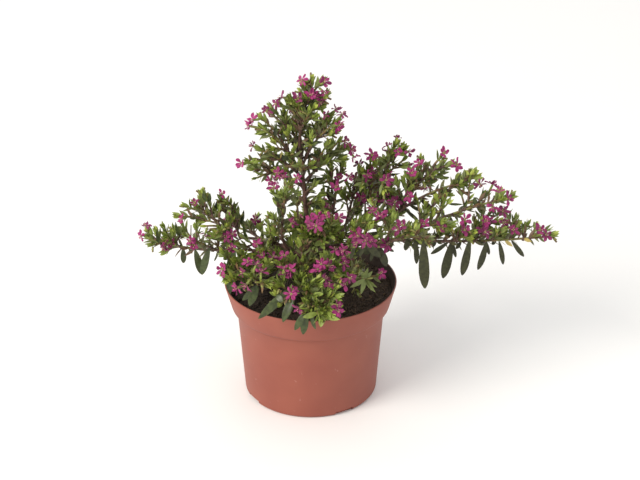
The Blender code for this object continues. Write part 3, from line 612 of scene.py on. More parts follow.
# Where it shows dark leaves, old ones lying in shade, in the same way: the shoots there take older, darker
# leaf colours, partly as painted shade
shadedSpots = (
    (360, 265, 12), (284, 228, 10), (308, 252, 10), (296, 205, 8), (372, 252, 10), (262, 240, 5),
    (428, 239, 7))


def inCircles(point, circles, share=1.0):
    u, v = pixelOf(point)
    return any(math.hypot(u - column, v - row) < radius * share for column, row, radius in circles)


def inSky(point, share=1.0):
    return inCircles(point, skyGaps, share)


def fineTwigs(path, shares, longest, shortest, rng):
    lines = []
    roll = rng.uniform(0, math.pi)
    for step, share in enumerate(shares):
        point, along = placeOn(path, share)
        for side in range(2):
            turn = Matrix.Rotation(roll + math.pi / 2 * step + math.pi * side, 3, along)
            outward = turn @ along.orthogonal().normalized()
            spread = math.radians(fineLook["spread"] + jitter(rng, fineLook["spreadJitter"]))
            way = leaning(along, outward, spread, fineLook["lift"])
            lines.append((point, point + way * rng.uniform(shortest, longest)))
    return lines


def addShoot(group, order, path, kind):
    shoots.append(Shoot(group, order, path, *thickness[kind]))


def growBareTwigs():
    for seed, (name, (path, radii)) in enumerate(limbs.items()):
        rng = random.Random(bareLook["seed"] + seed)
        first, last, pairs, longest = bareLook["stem" if name == "stem" else "bough"]
        shares = evenly(first, last, pairs)
        for start, end in fineTwigs(path, shares, longest, longest * bareLook["shortest"], rng):
            if clearOfPot([start.lerp(end, share) for share in bareLook["clearAt"]]) and not inSky(end):
                addShoot("inner", 1, [start, end], "bare")


def carriers():
    # points along every limb and thicker shoot that a further shoot may grow from
    found = []
    bearers = [path for path, radii in limbs.values()] + [shoot.path for shoot in shoots if shoot.order < 2]
    for path in bearers:
        count = max(int(pathLength(path) / aimLook["step"]), 2)
        shares = evenly(aimLook["carrierFrom"], aimLook["carrierTo"], count)
        found += [placeOn(path, share) for share in shares]
    return found


def aimedPath(root, tip):
    way = tip - root
    return bowedPath(root, way.normalized(), way.length, way.length * aimLook["arch"], aimLook["spans"])


def growGuidedShoots():
    # each grows from the carrier that shows nearest its root pixel, at about its own depth
    places = [(point, *pixelOf(point)) for point, along in carriers()]
    for group, lines in guidedShoots.items():
        for rootU, rootV, tipU, tipV, depth in lines:
            offRoot = [math.hypot(u - rootU, v - rootV) + abs(point.y / mm - depth) * aimLook["depthCost"]
                       for point, u, v in places]
            root = places[offRoot.index(min(offRoot))][0]
            path = aimedPath(root, placeOfPixel(tipU, tipV, depth * mm))
            addShoot(group, 0, path, "guided")
            forks = [placeOn(path, share)[0] for share in aimLook["forks"]]
            places += [(point, *pixelOf(point)) for point in forks]


def bestRoot(places, tip, wanted):
    # the carrier from which a shoot of the wanted length leans out best to its tip
    best = None
    for point, along in places:
        reach = (tip - point).length
        if not aimLook["least"] < reach < aimLook["most"] or point.z > tip.z + aimLook["drop"]:
            continue
        turned = abs((tip - point).normalized().dot(along) - aimLook["lean"])
        cost = abs(reach - wanted) + aimLook["leanCost"] * turned
        if best is None or cost < best[0]:
            best = (cost, point)
    return best and best[1]


def growAimedShoots():
    places = carriers()
    for group, tips in furtherTips.items():
        for u, v, depth, wanted in tips:
            tip = placeOfPixel(u, v, depth * mm)
            root = bestRoot(places, tip, wanted * mm)
            if root is None:
                continue
            path = aimedPath(root, tip)
            addShoot(group, 0, path, "aimed")
            if group != "front":
                continue
            length = (tip - root).length
            for start, end in fineTwigs(path, aimLook["pairs"], length * aimLook["longest"],
                                        length * aimLook["shortest"], random.Random(u)):
                if clearOfPot([end]) and not inSky(end):
                    addShoot(group, 2, [start, end], "fine")


def growLimbs(space):
    spans = mainStem["spans"]
    foot = Vector((0.0, 0.0, soilTop + gap))
    lean = heading(mainStem["lean"], mainStem["rise"])
    trunk = bowedPath(foot, lean, mainStem["length"], mainStem["arch"], spans)
    limbs["stem"] = (trunk, stemRadii(spans))
    space.add("limb stem", trunk)
    for name, bough in boughs.items():
        way = heading(bough.azimuth, bough.rise)
        path = bowedPath(Vector(), way, bough.length, bough.arch, boughLook["spans"])
        share = (bough.height - soilTop) / (trunk[-1].z - soilTop)
        path = seated(path, way, boughLook["foot"], limbs["stem"], share)
        limbs[name] = (path, evenly(boughLook["foot"], boughLook["tip"], boughLook["spans"] + 1))
        space.add("limb " + name, path)


def growMass(name, mass, stem, sides, space, rng):
    shoots.append(Shoot(name, 0, stem, shootLook["foot"], shootLook["tip"]))
    fine = []
    for start, end in sides:
        length = (end - start).length
        if mass.limb == "stem" and length < fineLook["leaderLeast"] or inSky(end):
            continue
        addShoot(name, 1, [start, end], "side")
        if length > fineLook["least"]:
            pairs = fineLook["backPairs"] if "back" in name else fineLook["pairs"]
            fine += fineTwigs([start, end], pairs, length * fineLook["longest"],
                              length * fineLook["shortest"], rng)
    for start, end in fine:
        points = [start.lerp(end, share) for share in fineLook["clearAt"]]
        if clearOfPot(points) and space.isOwn(name, points) and not inSky(end):
            addShoot(name, 2, [start, end], "fine")


def growShrub():
    space = Space()
    growLimbs(space)
    stems = {}
    for name, mass in masses.items():
        way = heading(mass.azimuth, mass.rise)
        path = bowedPath(Vector(), way, mass.length, mass.arch, shootLook["spans"])
        stems[name] = seated(path, way, shootLook["foot"], limbs[mass.limb], mass.share)
        space.add(name, stems[name])
    for name, mass in masses.items():
        space.keepClear(name, hangingLeaves(mass, stems[name]))     # the solids' leaves hold their room
    sides = {}
    for seed, (name, mass) in enumerate(masses.items()):
        sides[name] = space.keepClear(name, sideShoots(mass, stems[name], random.Random(seed)))
    for seed, (name, mass) in enumerate(masses.items()):
        growMass(name, mass, stems[name], sides[name], space, random.Random(fineLook["seed"] + seed))
    growBareTwigs()
    growGuidedShoots()
    growAimedShoots()
    print("grown:", len(limbs), "limbs,", len(shoots), "shoots")


# Leaves: narrow and opposite, each pair across the last, packed into a tuft at each tip.
# A blade has its width and widest place as shares of its length, the fullness of its foot and tip,
# its fold and bend in degrees, its rows and columns of faces, and how far its edges roll under.
Blade = namedtuple("Blade", "width widest foot tip fold bend rows columns roll", defaults=(2, 0.0))
leafShapes = {
    "young": Blade(0.36, 0.46, 0.70, 1.05, 18, -24, 6),
    "broad": Blade(0.40, 0.50, 0.64, 0.76, 16, -18, 8),
    "straight": Blade(0.285, 0.44, 0.70, 1.05, 12, 10, 6),
    "drooping": Blade(0.27, 0.44, 0.70, 1.05, 12, 36, 6),
    "cupped": Blade(0.29, 0.46, 0.70, 1.00, 20, -22, 6),
    "hanging": Blade(0.225, 0.60, 0.44, 0.62, 10, 12, 10),
    "strap": Blade(0.225, 0.52, 0.56, 0.70, 30, 26, 10, 4, 0.9),
}
leafColours = {"lime": "#acb752", "young": "#8b9b47", "fresh": "#7c884c", "mature": "#757c4c",
               "old": "#71724c", "shade": "#6d6b4e", "bronze": "#775f4a", "hanging": "#3c3e22",
               "strap": "#455029", "yellowed": "#c0ac68", "withered": "#8c6d4a"}
leafAges = ((0.10, "lime"), (0.30, "young"), (0.55, "fresh"), (0.80, "mature"), (1.05, "old"))
leafGloss = {"strap": 0.34, "hanging": 0.60}      # roughness, where it isn't the usual one
leafLook = {"tipSpacing": 0.50 * mm, "oldSpacings": (3.7 * mm, 3.8 * mm, 3.8 * mm), "spacingFade": 6.5 * mm,
            "budLength": 3.4 * mm, "budFade": 0.9 * mm, "tuftLength": 6.7 * mm, "fade": 8.0 * mm,
            "oldLengths": (7.0 * mm, 6.5 * mm, 5.8 * mm), "sizes": (0.86, 1.12), "bareFoot": 1.2 * mm,
            "tipSpread": 12, "oldSpread": 56, "spreadFade": 4.2 * mm, "spreadJitter": 7,
            "lift": 0.20, "lifts": (0.4, 1.2), "tilt": 0.4, "twist": (0.4, 1.3), "rollJitter": 0.35,
            "turnJitter": 0.2, "firstAge": 0.02, "ageSpan": 14.0 * mm, "ageJitter": 0.05,
            "sprayAges": (-0.06, 0.18), "shadeAge": 0.45, "bronze": 0.16, "bronzeFrom": 0.4,
            "youngUnder": 0.3, "oldShapes": ("straight", "straight", "drooping", "cupped"),
            "dying": 0.02, "dyingFrom": 0.6, "skyShare": 0.7, "stalk": 0.14, "roughness": 0.46, "seed": 700}
# Tufts that open wide: the bright ones in front, the whorl over the soil and the twigs round it
boldShoots = {
    "rosettes": {"tuftLength": 7.2 * mm, "tipSpread": 34, "oldSpread": 72, "ageSpan": 18.0 * mm,
                 "tipSpacing": 0.9 * mm},
    "star": {"tuftLength": 8.4 * mm, "budLength": 8.0 * mm, "tipSpread": 66, "oldSpread": 84,
             "tipSpacing": 1.5 * mm, "firstAge": 0.5},
    "right_short": {"tuftLength": 7.4 * mm, "budLength": 5.0 * mm, "tipSpread": 40, "oldSpread": 80,
                    "tipSpacing": 1.4 * mm, "firstAge": 0.4},
}
# Large dark pairs straight on the leader's stem
stemLeafLook = {"from": 0.42, "to": 0.98, "pairs": 13, "length": 8.2 * mm, "spread": 62, "ages": (0.9, 1.2),
                "seed": 705}
leaves = {colour: {shape: [] for shape in leafShapes} for colour in leafColours}
nodes = []     # where a flower may stand: point, direction and distance from the shoot's tip


def leafOutline(share, blade):
    # narrow at the stalk, widest near the middle, then in to a point
    turned = share ** (math.log(0.5) / math.log(blade.widest))
    power = blade.foot if share < blade.widest else blade.tip
    return max(math.sin(math.pi * min(turned, 1.0)) ** power, leafLook["stalk"] if share < 0.5 else 0.0)


def leafShape(name, blade):
    # one leaf 1 long: root at the origin, along +Y, its upper face to +Z
    bm = bmesh.new()
    bmesh.ops.create_grid(bm, x_segments=blade.columns, y_segments=blade.rows, size=0.5)
    bend = math.radians(blade.bend)
    for vertex in bm.verts:
        share = 0.5 - 0.5 * math.cos(math.pi * (vertex.co.y + 0.5))
        side = vertex.co.x * 2
        half = blade.width / 2 * leafOutline(share, blade)
        rise = abs(side) * half * math.tan(math.radians(blade.fold))
        rise -= max(abs(side) - 0.5, 0.0) * half * blade.roll
        vertex.co = (side * half, math.sin(bend * share) / bend, (math.cos(bend * share) - 1) / bend + rise)
    bmesh.ops.remove_doubles(bm, verts=bm.verts, dist=0.001)
    return meshFrom(bm, name)


def placeLeaf(colour, shape, point, way, face, length, broad=1.0):
    way = way.normalized()
    across = way.cross(face).normalized()
    upper = across.cross(way)
    turn = Matrix((across * length * broad, way * length, upper * length)).transposed()
    leaves[colour][shape].append(placed(point, turn.to_4x4()))


def ageColour(age, rng):
    luck = rng.random()
    if age > leafLook["dyingFrom"] and luck < leafLook["dying"]:
        return rng.choice(("yellowed", "withered"))
    if age > leafLook["bronzeFrom"] and luck < leafLook["bronze"]:
        return "bronze"
    for limit, colour in leafAges:
        if age < limit:
            return colour
    return "shade"


def leafPair(point, along, roll, length, spread, age, rng, bold=False):
    look = leafLook
    across = along.cross(away if abs(along.y) < 0.9 else up).normalized()
    first = Matrix.Rotation(roll, 3, along) @ across
    for outward in (first, -first):
        lean = math.radians(spread + jitter(rng, look["spreadJitter"]))
        way = along * math.cos(lean) + outward * math.sin(lean)
        way += up * look["lift"] * rng.uniform(*look["lifts"])
        twist = along.cross(outward) * rng.choice((-1, 1)) * rng.uniform(*look["twist"])
        face = along * math.sin(lean) - outward * math.cos(lean) + up * look["tilt"] + twist
        shape = "young" if age < look["youngUnder"] else rng.choice(look["oldShapes"])
        colour = ageColour(age + jitter(rng, look["ageJitter"]), rng)
        size = length * rng.uniform(*look["sizes"])
        reach = point + way.normalized() * size
        middle = point.lerp(reach, 0.5)
        if inSky(reach, look["skyShare"]) or inSky(middle) or overOldLeaf(reach) or overOldLeaf(middle):
            continue
        if clearOfPot([reach, middle]):
            placeLeaf(colour, "broad" if bold else shape, point, way, face, size)


def clotheShoot(shoot, rng):
    # from the tip down: a close brush of young leaves, then pairs further apart that spread wider
    look = {**leafLook, **boldShoots.get(shoot.mass, {})}
    oldLength, oldSpacing = look["oldLengths"][shoot.order], look["oldSpacings"][shoot.order]
    length = pathLength(shoot.path)
    roll = jitter(rng, look["rollJitter"])
    sprayAge = rng.uniform(*look["sprayAges"])
    # painted shade in part: a shoot that ends in one of these spots is aged, so its leaves take darker
    # colours
    if inCircles(shoot.path[-1], shadedSpots):
        sprayAge += look["shadeAge"]
    fromTip = 0.0
    pair = 0
    while fromTip < length - look["bareFoot"]:
        point, along = placeOn(shoot.path, 1 - fromTip / length)
        settled = 1 - math.exp(-fromTip / look["fade"])
        opened = 1 - math.exp(-fromTip / look["spreadFade"])
        spaced = 1 - math.exp(-fromTip / look["spacingFade"])
        leafLength = look["tuftLength"] + (oldLength - look["tuftLength"]) * settled
        leafLength -= (look["tuftLength"] - look["budLength"]) * math.exp(-fromTip / look["budFade"])
        spread = look["tipSpread"] + (look["oldSpread"] - look["tipSpread"]) * opened
        age = look["firstAge"] + fromTip / look["ageSpan"] + sprayAge
        turn = roll + math.pi / 2 * pair + jitter(rng, look["turnJitter"])
        leafPair(point, along, turn, leafLength, spread, age, rng, bold=shoot.mass == "rosettes")
        nodes.append((point, along, fromTip))
        fromTip += look["tipSpacing"] + (oldSpacing - look["tipSpacing"]) * spaced
        pair += 1


def clotheStem():
    look = stemLeafLook
    rng = random.Random(look["seed"])
    for pair, share in enumerate(evenly(look["from"], look["to"], look["pairs"])):
        point, along = placeOn(limbs["stem"][0], share)
        turn = math.pi / 2 * pair + jitter(rng, 1) * leafLook["rollJitter"]
        leafPair(point, along, turn, look["length"], look["spread"], rng.uniform(*look["ages"]), rng)


# Single leaves that the photograph shows, most of them long and old: root pixel, tip pixel,
# width in pixels, and how far the tip comes forward in mm
OldLeaves = namedtuple("OldLeaves", "shape colour pull leaves")
oldLeaves = {
    "front": OldLeaves("strap", "strap", 400, (
        (255, 286, 243, 302, 7, 5), (257, 284, 249, 306, 9, 8), (288, 285, 258, 321, 9, 9),
        (297, 298, 281, 322, 9, 9), (306, 317, 303, 337, 8, 4), (298, 316, 293, 331, 7, 4),
        (243, 278, 240, 292, 5, 4), (277, 290, 282, 301, 6, 5), (310, 318, 314, 331, 5, 4))),
    "rim": OldLeaves("hanging", "strap", 100, (
        (232, 252, 231, 296, 8, 4), (227, 264, 229, 292, 6, 3), (236, 250, 231, 268, 7, 2))),
    "bright": OldLeaves("broad", "young", 400, (
        (317, 314, 302, 316, 7, 2), (323, 314, 321, 327, 6, 2), (326, 316, 341, 318, 6, 3),
        (326, 310, 338, 307, 5, 0), (231, 277, 222, 274, 4, 2), (262, 264, 269, 260, 4, 2))),
    "dry": OldLeaves("straight", "withered", 100, (
        (263, 283, 262, 294, 2.5, 3), (236, 262, 238, 271, 2.5, 2), (366, 289, 359, 299, 2.5, 2))),
    "yellowed": OldLeaves("straight", "yellowed", 100, (
        (282, 149, 265, 150, 3.5, 0), (507, 239, 513, 247, 4, 1))),
    "star": OldLeaves("straight", "fresh", 400, (
        (365, 278, 350, 288, 5, 4), (365, 278, 375, 293, 5, 5), (366, 278, 377, 288, 4, 3),
        (366, 277, 373, 271, 4, -3), (364, 277, 359, 268, 4, -4), (364, 278, 354, 278, 4, 0),
        (365, 278, 361, 295, 5, 3), (366, 277, 368, 267, 4, -4))),
    "left": OldLeaves("hanging", "strap", 100, (
        (195, 248, 202.5, 276, 8, 0), (210, 247, 200.5, 276, 8, 2), (183, 246, 184, 264, 6, 1),
        (190, 246, 192, 254, 3, 0), (219, 249, 214, 262, 2, 0))),
    "right": OldLeaves("hanging", "hanging", 100, (
        (424, 239, 424, 292, 11, 0), (414, 241, 418, 266, 6, -3), (452, 241, 443, 281, 9.5, 0),
        (447, 241, 431, 255, 5, 2), (452, 243, 456, 259, 4, -2), (470, 241, 462.5, 278, 8.5, 0),
        (484.5, 241, 479.5, 272, 8, 0), (484, 241, 476, 243, 4, 2), (486, 241, 489, 256, 4, -2),
        (501, 241, 504.5, 266, 5.5, 0), (513, 243, 524.5, 258, 5, 0), (410, 240, 406, 251, 7, 2),
        (420, 241, 413, 248, 6, 3), (436, 241, 432, 247, 4, 2), (460, 242, 456, 249, 4, 2),
        (496, 240, 492, 245, 4, 1), (420, 198, 433, 210, 5, 0), (410, 205, 422, 212, 4, 0),
        (407, 210, 419, 222, 4, 0))),
    "behind": OldLeaves("hanging", "hanging", 100, (
        (377, 245, 350, 257, 5, 4), (381, 249, 388, 268, 8, -4), (385, 248, 394, 253, 4, -2),
        (370, 246, 360, 257, 4, 3), (356, 246, 350, 260, 4, 2), (374, 250, 371, 262, 4, 2),
        (384, 245, 370, 255, 7, 0), (370, 246, 381, 258, 7, 0), (393, 242, 384, 254, 6, -3),
        (380, 231, 362, 238, 6, 0), (373, 237, 361, 248, 6, 2), (360, 236, 374, 244, 5, 0),
        (362, 244, 378, 254, 7, 0), (376, 244, 364, 255, 7, 0), (377, 246, 380, 259, 6, 0))),
    "upper": OldLeaves("straight", "strap", 100, (
        (293, 160, 266, 155, 6, 0), (303, 158, 321, 154, 4.5, 0), (320, 160, 319, 147, 4, 0),
        (310, 146, 321, 150, 2.5, 0), (311, 143, 324, 142, 3.5, 0), (318, 135, 337, 131, 3.5, 0),
        (308, 181, 324, 178, 5, 2), (302, 198, 318, 207, 5, 4), (308, 199, 324, 213, 6, 4),
        (303, 199, 286, 207, 4.5, 3), (296, 165, 286, 177, 4, 0), (312, 168, 327, 171, 3, 0),
        (275, 135, 276, 122, 4, 0), (282, 143, 285, 128, 4, 0), (290, 117, 285, 108, 2.5, 0),
        (319, 133, 317, 120, 4, 0), (329, 157, 327, 140, 4.5, 2), (308, 136, 310, 148, 4, 0),
        (311, 171, 309, 160, 4.5, 0), (276, 190, 281, 204, 4, 2), (277, 205, 281, 219, 5, 3),
        (449, 202, 464, 205, 3, 0), (455, 193, 455, 181, 3, 0), (459, 187, 459, 176, 3, 0),
        (436, 177, 450, 178, 3.5, 0), (461, 193, 474, 193, 3, 0), (392, 165, 405, 166, 3.5, 0),
        (386, 176, 401, 174, 3, 0), (433, 177, 433, 165, 3, 0), (475, 210, 474, 197, 5, 0),
        (465, 211, 467, 199, 3, 0), (241, 225, 244, 210, 4, 0), (232, 214, 234, 201, 4, 0),
        (226, 206, 229, 195, 4, 0), (215, 213, 217, 201, 4, 0), (208, 204, 210, 193, 4, 0),
        (205, 204, 203, 191, 4, 0), (160, 243, 157, 229, 4, 0), (169, 241, 162, 227, 4, 0),
        (178, 238, 175, 222, 4, 0), (247, 236, 243, 222, 3, 0))),
}
oldLeafLook = {"cover": 0.45, "faceSide": 0.4, "faceUp": (-0.1, 0.4), "seed": 709}


def overOldLeaf(point):
    # whether it would hide one of the single leaves that hang in front or stand in the star
    u, v = pixelOf(point)
    for group in ("front", "star"):
        for rootU, rootV, tipU, tipV, width, forward in oldLeaves[group].leaves:
            du, dv = tipU - rootU, tipV - rootV
            share = ((u - rootU) * du + (v - rootV) * dv) / (du * du + dv * dv)
            share = min(max(share, 0.0), 1.0)
            if math.hypot(u - rootU - du * share, v - rootV - dv * share) < width * oldLeafLook["cover"]:
                return True
    return False


def hangOldLeaves():
    # each grows from a node near its root pixel, and the harder its group pulls, the further forward
    rng = random.Random(oldLeafLook["seed"])
    seen = [(point, *pixelOf(point)) for point, along, fromTip in nodes]
    for shape, colour, pull, rows in oldLeaves.values():
        for rootU, rootV, tipU, tipV, width, forward in rows:
            offRoot = [math.hypot(u - rootU, v - rootV) + point.y * pull for point, u, v in seen]
            root = seen[offRoot.index(min(offRoot))][0]
            tip = placeOfPixel(tipU, tipV, root.y - forward * mm)
            way = tip - root
            face = Vector((jitter(rng, oldLeafLook["faceSide"]), -1.0, rng.uniform(*oldLeafLook["faceUp"])))
            wide = (placeOfPixel(tipU + width, tipV, tip.y) - tip).length
            broad = wide / way.length / leafShapes[shape].width
            placeLeaf(colour, shape, root, way, face, way.length, broad)


def leafMaterial(kind):
    # living leaf blade: a waxy skin over soft green flesh, so a satin gleam on a slightly uneven face
    base = linear(leafColours[kind])
    depth = 0.60 if kind in leafGloss else 0.80
    darker = tuple(channel * depth for channel in base[:3]) + (1.0,)
    return skinMaterial("leaf blade " + kind, 2.0 * mm, base, darker, 0.6 * mm, 0.05 * mm,
                        Roughness=leafGloss.get(kind, leafLook["roughness"]), IOR=1.42)


def makeLeaves():
    for seed, shoot in enumerate(shoots):
        clotheShoot(shoot, random.Random(leafLook["seed"] + seed))
    clotheStem()
    hangOldLeaves()
    shapes = {name: leafShape(name, blade) for name, blade in leafShapes.items()}
    for colour, sets in leaves.items():
        batches = [(shapes[shape], places) for shape, places in sets.items()]
        finishCopies("leaves_" + colour, batches, leafMaterial(colour))
    print("leaves:", sum(len(places) for sets in leaves.values() for places in sets.values()))


# Blossom: a green tube that ends in six crinkled petals, beside the tips of the shoots
flowerLook = {"petals": 6, "petalLength": 4.0 * mm, "petalWidth": 2.25 * mm, "lengths": (0.72, 1.10),
              "widths": (0.80, 1.15), "spreads": (30, 105), "turnJitter": 0.15, "roll": 42,
              "mouth": 0.65 * mm, "crinkle": 0.62 * mm, "waves": 3.2, "droop": 0.5 * mm,
              "claw": 0.22, "widest": 0.55, "clawPower": 1.6, "tipRound": 0.47,
              "tube": 5.6 * mm, "tubeBase": 0.30 * mm, "tubeWaist": 0.75 * mm, "tubeSides": 8,
              "shapes": 4, "sizes": (0.88, 1.10), "seed": 50}
stamenLook = {"count": 5, "turnJitter": 0.6, "rise": (1.4, 4.0), "length": (0.7, 2.0), "ring": 0.28 * mm,
              "foot": 0.10 * mm, "tip": 0.08 * mm, "head": 0.19 * mm, "seed": 5}
petalColours = {"bright": "#902864", "rose": "#802358", "deep": "#762352"}
# The flowers in view: the harder a group pulls, the further forward its flowers stand
seenLook = {"size": {"leader": 0.90, "left": 0.80, "right": 1.04, "front": 1.04},
            "pull": {"leader": 0.06, "left": 0.06, "right": 0.06, "front": 0.22},
            "reach": 12.0 * mm, "forward": (-7 * mm, -4 * mm, 0.0), "forwardCost": 0.2, "farthest": 4,
            "leastAlong": 0.2, "turnCost": 4 * mm, "usedCost": 5 * mm, "jitter": 3.0,
            "tubes": (4.4 * mm, 8.0 * mm), "colours": ("bright", "bright", "rose", "deep")}
# Flowers behind, and spent calyces all round
wildLook = {"reach": 4 * mm, "behind": 0.02, "leans": (35, 65), "sky": 1.6, "flowers": 0.20, "size": 0.85,
            "spentFrom": 0.80, "spentTube": 0.8, "spentWidth": 0.85, "colours": ("bright", "rose", "deep")}

# Where the photograph shows blossom: pixel column, pixel row, flowers
blossomSpots = {
    "leader": (
        (302, 80, 1), (324, 82, 1), (324, 92, 1), (311, 95, 2), (320, 102, 2), (298, 98, 1), (281, 97, 1),
        (276, 104, 1), (267, 110, 1), (253, 120, 1), (249, 126, 1), (253, 146, 1), (241, 163, 1),
        (279, 173, 2), (276, 180, 2), (284, 178, 1), (274, 187, 1), (297, 178, 1), (336, 109, 1),
        (342, 114, 1), (339, 125, 2), (325, 115, 1), (345, 141, 1), (351, 150, 2), (354, 157, 1),
        (339, 177, 1), (336, 187, 1), (349, 176, 1)),
    "left": (
        (146, 226, 1), (141, 236, 1), (165, 246, 3), (172, 244, 1), (190, 241, 1), (194, 245, 1),
        (205, 234, 1), (195, 203, 1), (182, 219, 1), (222, 194, 1), (232, 234, 1), (226, 237, 1),
        (232, 249, 1), (255, 220, 1), (257, 244, 1), (262, 255, 1)),
    "right": (
        (372, 155, 1), (409, 152, 1), (419, 163, 2), (412, 173, 1), (444, 153, 1), (457, 165, 1),
        (480, 184, 1), (499, 191, 1), (508, 199, 1), (493, 184, 1), (492, 207, 1), (503, 211, 1),
        (503, 223, 1), (485, 222, 2), (489, 221, 1), (482, 228, 1), (485, 232, 1), (465, 220, 1),
        (465, 230, 1), (441, 227, 1), (424, 224, 1), (426, 188, 1), (361, 199, 2), (386, 180, 2),
        (367, 175, 1), (384, 202, 1), (395, 202, 1), (384, 216, 2), (398, 229, 2), (358, 236, 3),
        (366, 240, 2), (387, 244, 1), (513, 230, 1), (540, 230, 1), (546, 235, 1), (381, 273, 1),
        (371, 211, 1), (408, 196, 1)),
    "front": (
        (292, 223, 1), (311, 220, 2), (318, 217, 1), (327, 217, 1), (316, 226, 1), (339, 218, 1),
        (273, 257, 1), (284, 255, 1), (284, 269, 1), (285, 274, 1), (291, 270, 1), (233, 248, 1),
        (248, 262, 1), (256, 265, 1), (261, 272, 1), (243, 273, 1), (222, 269, 1), (237, 288, 1),
        (246, 285, 1), (291, 294, 2), (299, 309, 1), (321, 264, 1), (330, 266, 1), (318, 269, 1),
        (325, 279, 1), (329, 285, 1), (344, 250, 1), (346, 256, 1), (344, 263, 1), (335, 250, 1),
        (344, 284, 1), (350, 278, 1), (337, 305, 1), (338, 311, 1)),
}
flowers = []          # the foot, direction, length of the tube, petal colour and size of each
spentFlowers = []     # the foot, direction and length of the tube


def pickFlower(u, v, pull, uses):
    # the node from which a flower best reaches a pixel, and where its mouth comes; a used node costs more
    look = seenLook
    best = None
    for index, (point, along, fromTip) in enumerate(nodes):
        if fromTip > look["reach"]:
            continue
        for forward in look["forward"]:
            mouth = placeOfPixel(u, v, point.y + forward)
            reach = (mouth - point).length
            if reach > look["farthest"] * flowerLook["tube"]:
                break
            turned = max(look["leastAlong"] - (mouth - point).normalized().dot(along), 0.0)
            cost = abs(reach - flowerLook["tube"]) + turned * look["turnCost"]
            cost += uses.get(index, 0) * look["usedCost"] + point.y * pull + forward * look["forwardCost"]
            if best is None or cost < best[0]:
                best = (cost, index, mouth)
    return best


def placeSeenFlowers(uses, rng):
    look = seenLook
    for group, spots in blossomSpots.items():
        for u, v, count in spots:
            for flower in range(count):
                shift = look["jitter"] if flower else 0.0
                column, row = u + rng.gauss(0, 1) * shift, v + rng.gauss(0, 1) * shift
                found = pickFlower(column, row, look["pull"][group], uses)
                if found is None:
                    continue
                index, mouth = found[1:]
                uses[index] = uses.get(index, 0) + 1
                point = nodes[index][0]
                way = mouth - point
                length = min(max(way.length, look["tubes"][0]), look["tubes"][1])
                colour = rng.choice(look["colours"])
                flowers.append((point, way.normalized(), length, colour, look["size"][group]))


def placeOtherFlowers(uses, rng):
    look = wildLook
    for index, (point, along, fromTip) in enumerate(nodes):
        if fromTip > look["reach"] or index in uses:
            continue
        turn = Matrix.Rotation(rng.uniform(0, math.tau), 3, along)
        lean = math.radians(rng.uniform(*look["leans"]))
        way = along * math.cos(lean) + turn @ along.orthogonal().normalized() * math.sin(lean)
        luck = rng.random()
        if inSky(point + way * flowerLook["tube"], look["sky"]):
            continue
        if point.y > look["behind"] and luck < look["flowers"]:
            flowers.append((point, way, flowerLook["tube"], rng.choice(look["colours"]), look["size"]))
        elif luck > look["spentFrom"]:
            spentFlowers.append((point, way, flowerLook["tube"] * look["spentTube"]))


def petalOutline(share):
    # a narrow claw that opens into a round blade
    look = flowerLook
    if share < look["widest"]:
        opened = math.sin(math.pi / 2 * share / look["widest"]) ** look["clawPower"]
        return look["claw"] + (1 - look["claw"]) * opened
    return math.sqrt(1 - ((share - look["widest"]) / look["tipRound"]) ** 2)


def petalsShape(seed):
    # separate petals round the mouth of a tube that ends at the origin, facing +Z
    look = flowerLook
    rng = random.Random(seed)
    bm = bmesh.new()
    for petal in range(look["petals"]):
        made = bmesh.ops.create_grid(bm, x_segments=4, y_segments=4, size=0.5)["verts"]
        turn = math.tau / look["petals"] * petal + jitter(rng, look["turnJitter"])
        length = look["petalLength"] * rng.uniform(*look["lengths"])
        width = look["petalWidth"] * rng.uniform(*look["widths"])
        spread = math.radians(rng.uniform(*look["spreads"]))
        wave = rng.uniform(0, math.tau)
        roll = math.radians(jitter(rng, look["roll"]))
        for vertex in made:
            share = vertex.co.y + 0.5
            side = vertex.co.x * 2
            out = look["mouth"] + length * share * math.sin(spread)
            rise = length * share * math.cos(spread) - look["droop"] * share * share
            rise += look["crinkle"] * math.sin(side * look["waves"] + wave) * share
            half = side * width / 2 * petalOutline(share)
            vertex.co = (out, half * math.cos(roll), rise + half * math.sin(roll))
        bmesh.ops.rotate(bm, verts=made, cent=(0, 0, 0), matrix=Matrix.Rotation(turn, 3, "Z"))
    return meshFrom(bm, "petals")


def tubeShape():
    # the calyx, from its stalk at the origin up +Z
    base, waist, mouth = flowerLook["tubeBase"], flowerLook["tubeWaist"], flowerLook["mouth"]
    outline = ((0.0, 0.0), (base, 0.05), (base, 0.22), (waist, 0.36), (waist * 0.95, 0.70),
               (mouth, 0.97), (mouth * 1.05, 1.0), (mouth * 0.75, 0.98), (0.0, 0.90))
    return spinProfile("tube", [(radius, share * flowerLook["tube"]) for radius, share in outline],
                       flowerLook["tubeSides"])


def stamensShape():
    # pale stamens that show in the mouth
    look = stamenLook
    rng = random.Random(look["seed"])
    bm = bmesh.new()
    for stamen in range(look["count"]):
        turn = math.tau / look["count"] * stamen + jitter(rng, look["turnJitter"])
        lean = Vector((math.cos(turn), math.sin(turn), rng.uniform(*look["rise"]))).normalized()
        reach = rng.uniform(*look["length"]) * mm
        foot = Vector((math.cos(turn), math.sin(turn), 0.0)) * look["ring"]
        place = Matrix.Translation(foot + lean * reach / 2) @ turnedTo(lean)
        bmesh.ops.create_cone(bm, cap_ends=True, segments=3, radius1=look["foot"], radius2=look["tip"],
                              depth=reach, matrix=place)
        bmesh.ops.create_icosphere(bm, subdivisions=1, radius=look["head"],
                                   matrix=Matrix.Translation(foot + lean * reach))
    return meshFrom(bm, "stamens")


def petalMaterial(kind):
    # thin papery petal: dull velvet face with a faint sheen at its edges
    base = linear(petalColours[kind])
    paler = tuple(min(channel * 1.20 + 0.01, 1.0) for channel in base[:3]) + (1.0,)
    return skinMaterial("petal " + kind, 1.6 * mm, base, paler, 0.5 * mm, 0.08 * mm,
                        Roughness=0.62, Sheen_Weight=0.10, IOR=1.38)


